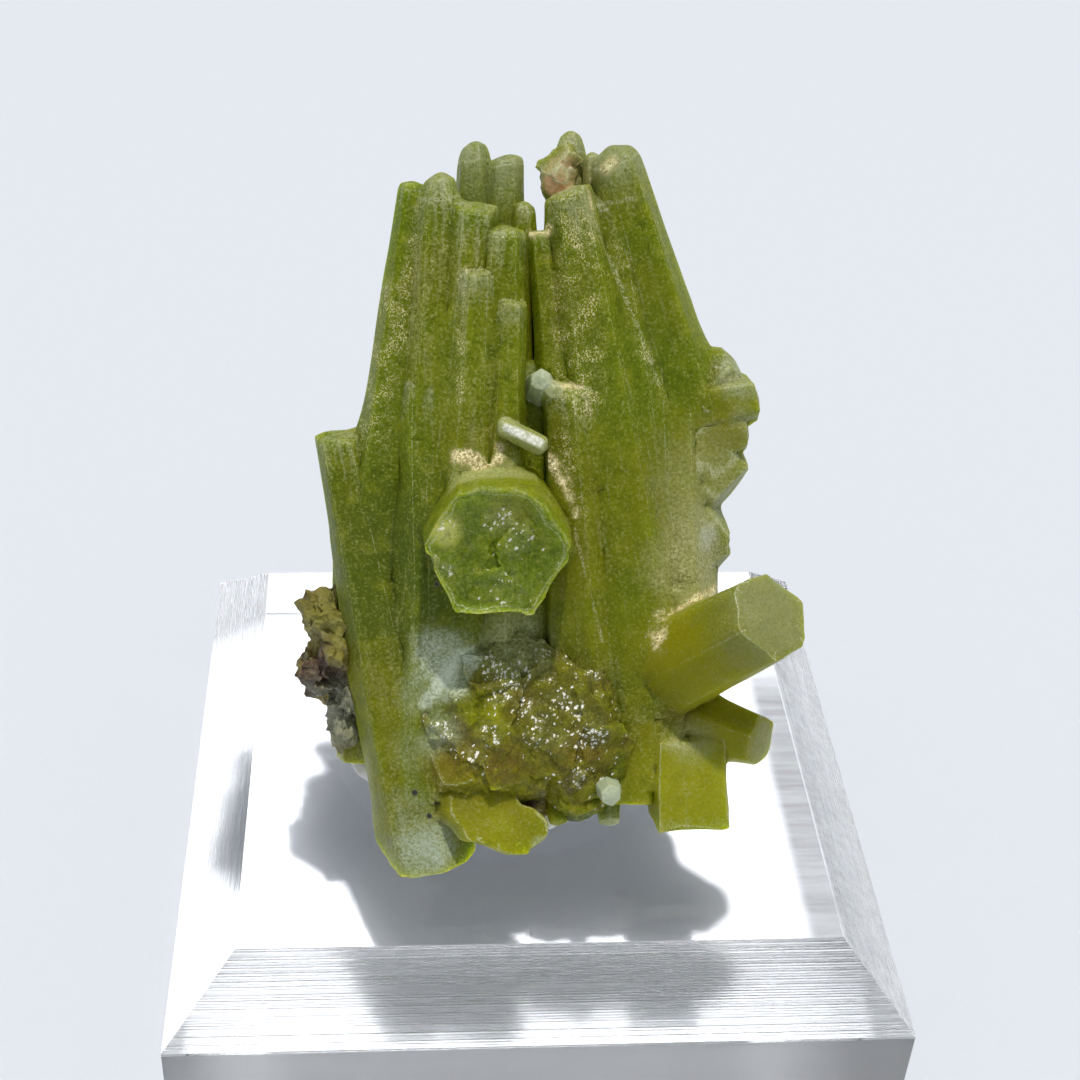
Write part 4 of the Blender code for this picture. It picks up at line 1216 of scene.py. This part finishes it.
class SPECIMEN_OT_crystals(bpy.types.Operator):
    """Grow every crystal and broken surface, and join them into one skin"""

    bl_idname = "specimen.crystals"
    bl_label = "Crystal cluster"

    def execute(self, context):
        settings = context.scene.specimen_cluster
        place = cluster_matrix(settings)
        growths = new_group("growths")
        step = settings.ring_step / MM
        wide_step = 1.4 * settings.ring_step / MM
        groups = (LEFT_BUNDLE, RIGHT_BUNDLE, BACK_GROWTHS, RIGHT_FLANK, LOWER_PRISMS, SMALL_GROWTHS)
        index = 0
        for group in groups:
            for name, shape in group.items():
                index += 1
                fine = max(shape[2], shape[3]) > 1.6
                grow(name, shape, index, growths, place, step if fine else 0.4 * step, fine=fine)
                count, stand = (0, 0) if name in SINGLE else BY_SIDE.get(name.split("_")[0], (0, 0))
                for number, extra in enumerate(parallel_growths(shape, index, count, stand)):
                    extra_index = 100 + 5 * index + number
                    grow(f"{name}_{number}", extra, extra_index, growths, place, wide_step, fine=False)
        grow("block_fragment", BLOCK_FRAGMENT, index + 1, growths, place, 0.25, sides=4)
        grow("hopper_crystal", HOPPER, index + 2, growths, place, 0.3, hollow=True)
        for number, (name, shape) in enumerate(FRACTURE_LUMPS.items(), index + 3):
            lump(name, shape, number, growths, place, levels=6, grain_size=1.6, facets=BREAK_FACETS)
        for number, (name, shape) in enumerate(PLAIN_LUMPS.items(), index + 13):
            lump(name, shape, number, growths, place, levels=5, grain_size=1.0, facets=PLAIN_FACETS)
        cluster = fuse("pyromorphite_crystals", growths, CLUSTER_FOOT)
        fill_grooves(cluster.data, rounds=50, strength=0.9)
        smooth_faces(cluster.data, angle=32)
        read_surface(cluster.data, reach=0.0020, rays=12)
        settle(cluster, crystal_material(settings), "green_crystal", "pyromorphite_cluster")
        return {"FINISHED"}


class SPECIMEN_OT_rock(bpy.types.Operator):
    """Build the stained rock behind and under the crystals"""

    bl_idname = "specimen.rock"
    bl_label = "Matrix rock"

    def execute(self, context):
        settings = context.scene.specimen_rock
        place = cluster_matrix(context.scene.specimen_cluster)
        lumps = new_group("rock_lumps")
        for number, (name, shape) in enumerate(ROCK_LUMPS.items()):
            shape = (*shape, settings.relief / MM, 0.0, 0.0, 1.0)
            lump(name, shape, number, lumps, place, levels=5, grain_size=1.1, facets=ROCK_FACETS)
        rock = fuse("gossan_rock", lumps, CLUSTER_FOOT)
        smooth_faces(rock.data, angle=38)
        settle(rock, rock_material(settings), "iron_stained_rock", "gossan_matrix")
        return {"FINISHED"}


class SPECIMEN_OT_putty(bpy.types.Operator):
    """Press the pad of putty onto the block"""

    bl_idname = "specimen.putty"
    bl_label = "Mounting putty"

    def execute(self, context):
        settings = context.scene.specimen_putty
        pads = new_group("pads")
        lump("pad", PUTTY, 0, pads, Matrix.Scale(MM, 4), levels=6, grain_size=2.2, facets=())
        putty = fuse("white_tack", pads, PUTTY_FOOT)
        smooth_faces(putty.data, angle=60)
        settle(putty, putty_material(settings), "white_putty", "mounting_putty")
        return {"FINISHED"}


class SPECIMEN_OT_stage(bpy.types.Operator):
    """Lay the floor, and set the light and the camera"""

    bl_idname = "specimen.stage"
    bl_label = "Stage"

    def execute(self, context):
        settings = context.scene.specimen_stage
        scene = context.scene
        bm = bmesh.new()
        bmesh.ops.create_grid(bm, x_segments=2, y_segments=2, size=1.5)
        floor = add_object("floor_sheet", mesh_of(bm, "floor_sheet"))
        floor.location.z = FLOOR_LEVEL
        looks = Looks("floor_paper")
        fibre = looks.noise(looks.place(), 1.2 / MM, 3.0, 0.6)
        shade = tuple(settings.floor)
        colour = looks.mix((fibre - 0.5).clamp() * 0.4, shade, tuple(0.93 * part for part in shade))
        paper = looks.surface(Base_Color=colour, Roughness=0.85, Normal=looks.bump(fibre, 0.02))
        floor.data.materials.append(looks.finish(paper))
        sun = bpy.data.lights.new("key_light", "SUN")
        sun.energy = settings.key
        sun.angle = radians(2.0)
        sun.color = (1.0, 0.975, 0.94)
        key = add_object("key_light", sun)
        key.rotation_euler = (radians(1), radians(3), 0)
        world = bpy.data.worlds.new("soft_sky")
        scene.world = world
        world.use_nodes = True
        back = world.node_tree.nodes["Background"]
        back.inputs["Color"].default_value = (0.88, 0.94, 1.0, 1)
        back.inputs["Strength"].default_value = settings.sky
        scene.view_settings.view_transform = "Standard"
        scene.camera = add_camera()
        return {"FINISHED"}


def add_camera():
    """The camera at the photograph's viewing angle."""
    azimuth, elevation, roll = radians(-5.66), radians(36.21), radians(3.29)
    # In mm: shift of the view to the right and up, distance, and height of the place that it turns round
    across, up_shift, distance, raised = 0.79, 11.13, 83.2, 7.2
    forward = Vector((-sin(azimuth) * cos(elevation), cos(azimuth) * cos(elevation), -sin(elevation)))
    right = Vector((cos(azimuth), sin(azimuth), 0))
    up = right.cross(forward)
    rolled_right = right * cos(roll) + up * sin(roll)
    rolled_up = up * cos(roll) - right * sin(roll)
    centre = rolled_right * across + rolled_up * up_shift - forward * distance + Vector((0, 0, raised))
    matrix = Matrix((rolled_right, rolled_up, -forward)).transposed().to_4x4()
    matrix.translation = centre * MM
    data = bpy.data.cameras.new("camera")
    data.sensor_width = 36
    data.lens = 59.87
    data.clip_start = 0.001
    camera = add_object("camera", data)
    camera.matrix_world = matrix
    return camera


class SPECIMEN_PT_panel(bpy.types.Panel):
    """Lists the steps and their settings"""

    bl_idname = "SPECIMEN_PT_panel"
    bl_label = "Pyromorphite Specimen"
    bl_space_type = "VIEW_3D"
    bl_region_type = "UI"
    bl_category = "Specimen"

    def draw(self, context):
        for operator, settings in STEPS:
            box = self.layout.box()
            box.operator(operator)
            group = getattr(context.scene, settings)
            for name in group.__annotations__:
                box.prop(group, name)


STEPS = (
    ("specimen.display_block", "specimen_block"),
    ("specimen.crystals", "specimen_cluster"),
    ("specimen.rock", "specimen_rock"),
    ("specimen.putty", "specimen_putty"),
    ("specimen.stage", "specimen_stage"),
)
GROUPS = {
    "specimen_block": BlockSettings,
    "specimen_cluster": ClusterSettings,
    "specimen_rock": RockSettings,
    "specimen_putty": PuttySettings,
    "specimen_stage": StageSettings,
}
CLASSES = (
    *GROUPS.values(), SPECIMEN_OT_display_block, SPECIMEN_OT_crystals, SPECIMEN_OT_rock, SPECIMEN_OT_putty,
    SPECIMEN_OT_stage, SPECIMEN_PT_panel,
)


def register():
    """Register every class and hang the settings on the scene."""
    for made in CLASSES:
        bpy.utils.register_class(made)
    for name, group in GROUPS.items():
        setattr(bpy.types.Scene, name, PointerProperty(type=group))


def unregister():
    """Take the settings and classes away again."""
    for name in GROUPS:
        delattr(bpy.types.Scene, name)
    for made in reversed(CLASSES):
        bpy.utils.unregister_class(made)


def main():
    """Run every step in order."""
    register()
    bpy.ops.specimen.display_block()
    bpy.ops.specimen.crystals()
    bpy.ops.specimen.rock()
    bpy.ops.specimen.putty()
    bpy.ops.specimen.stage()


if __name__ == "__main__":
    main()
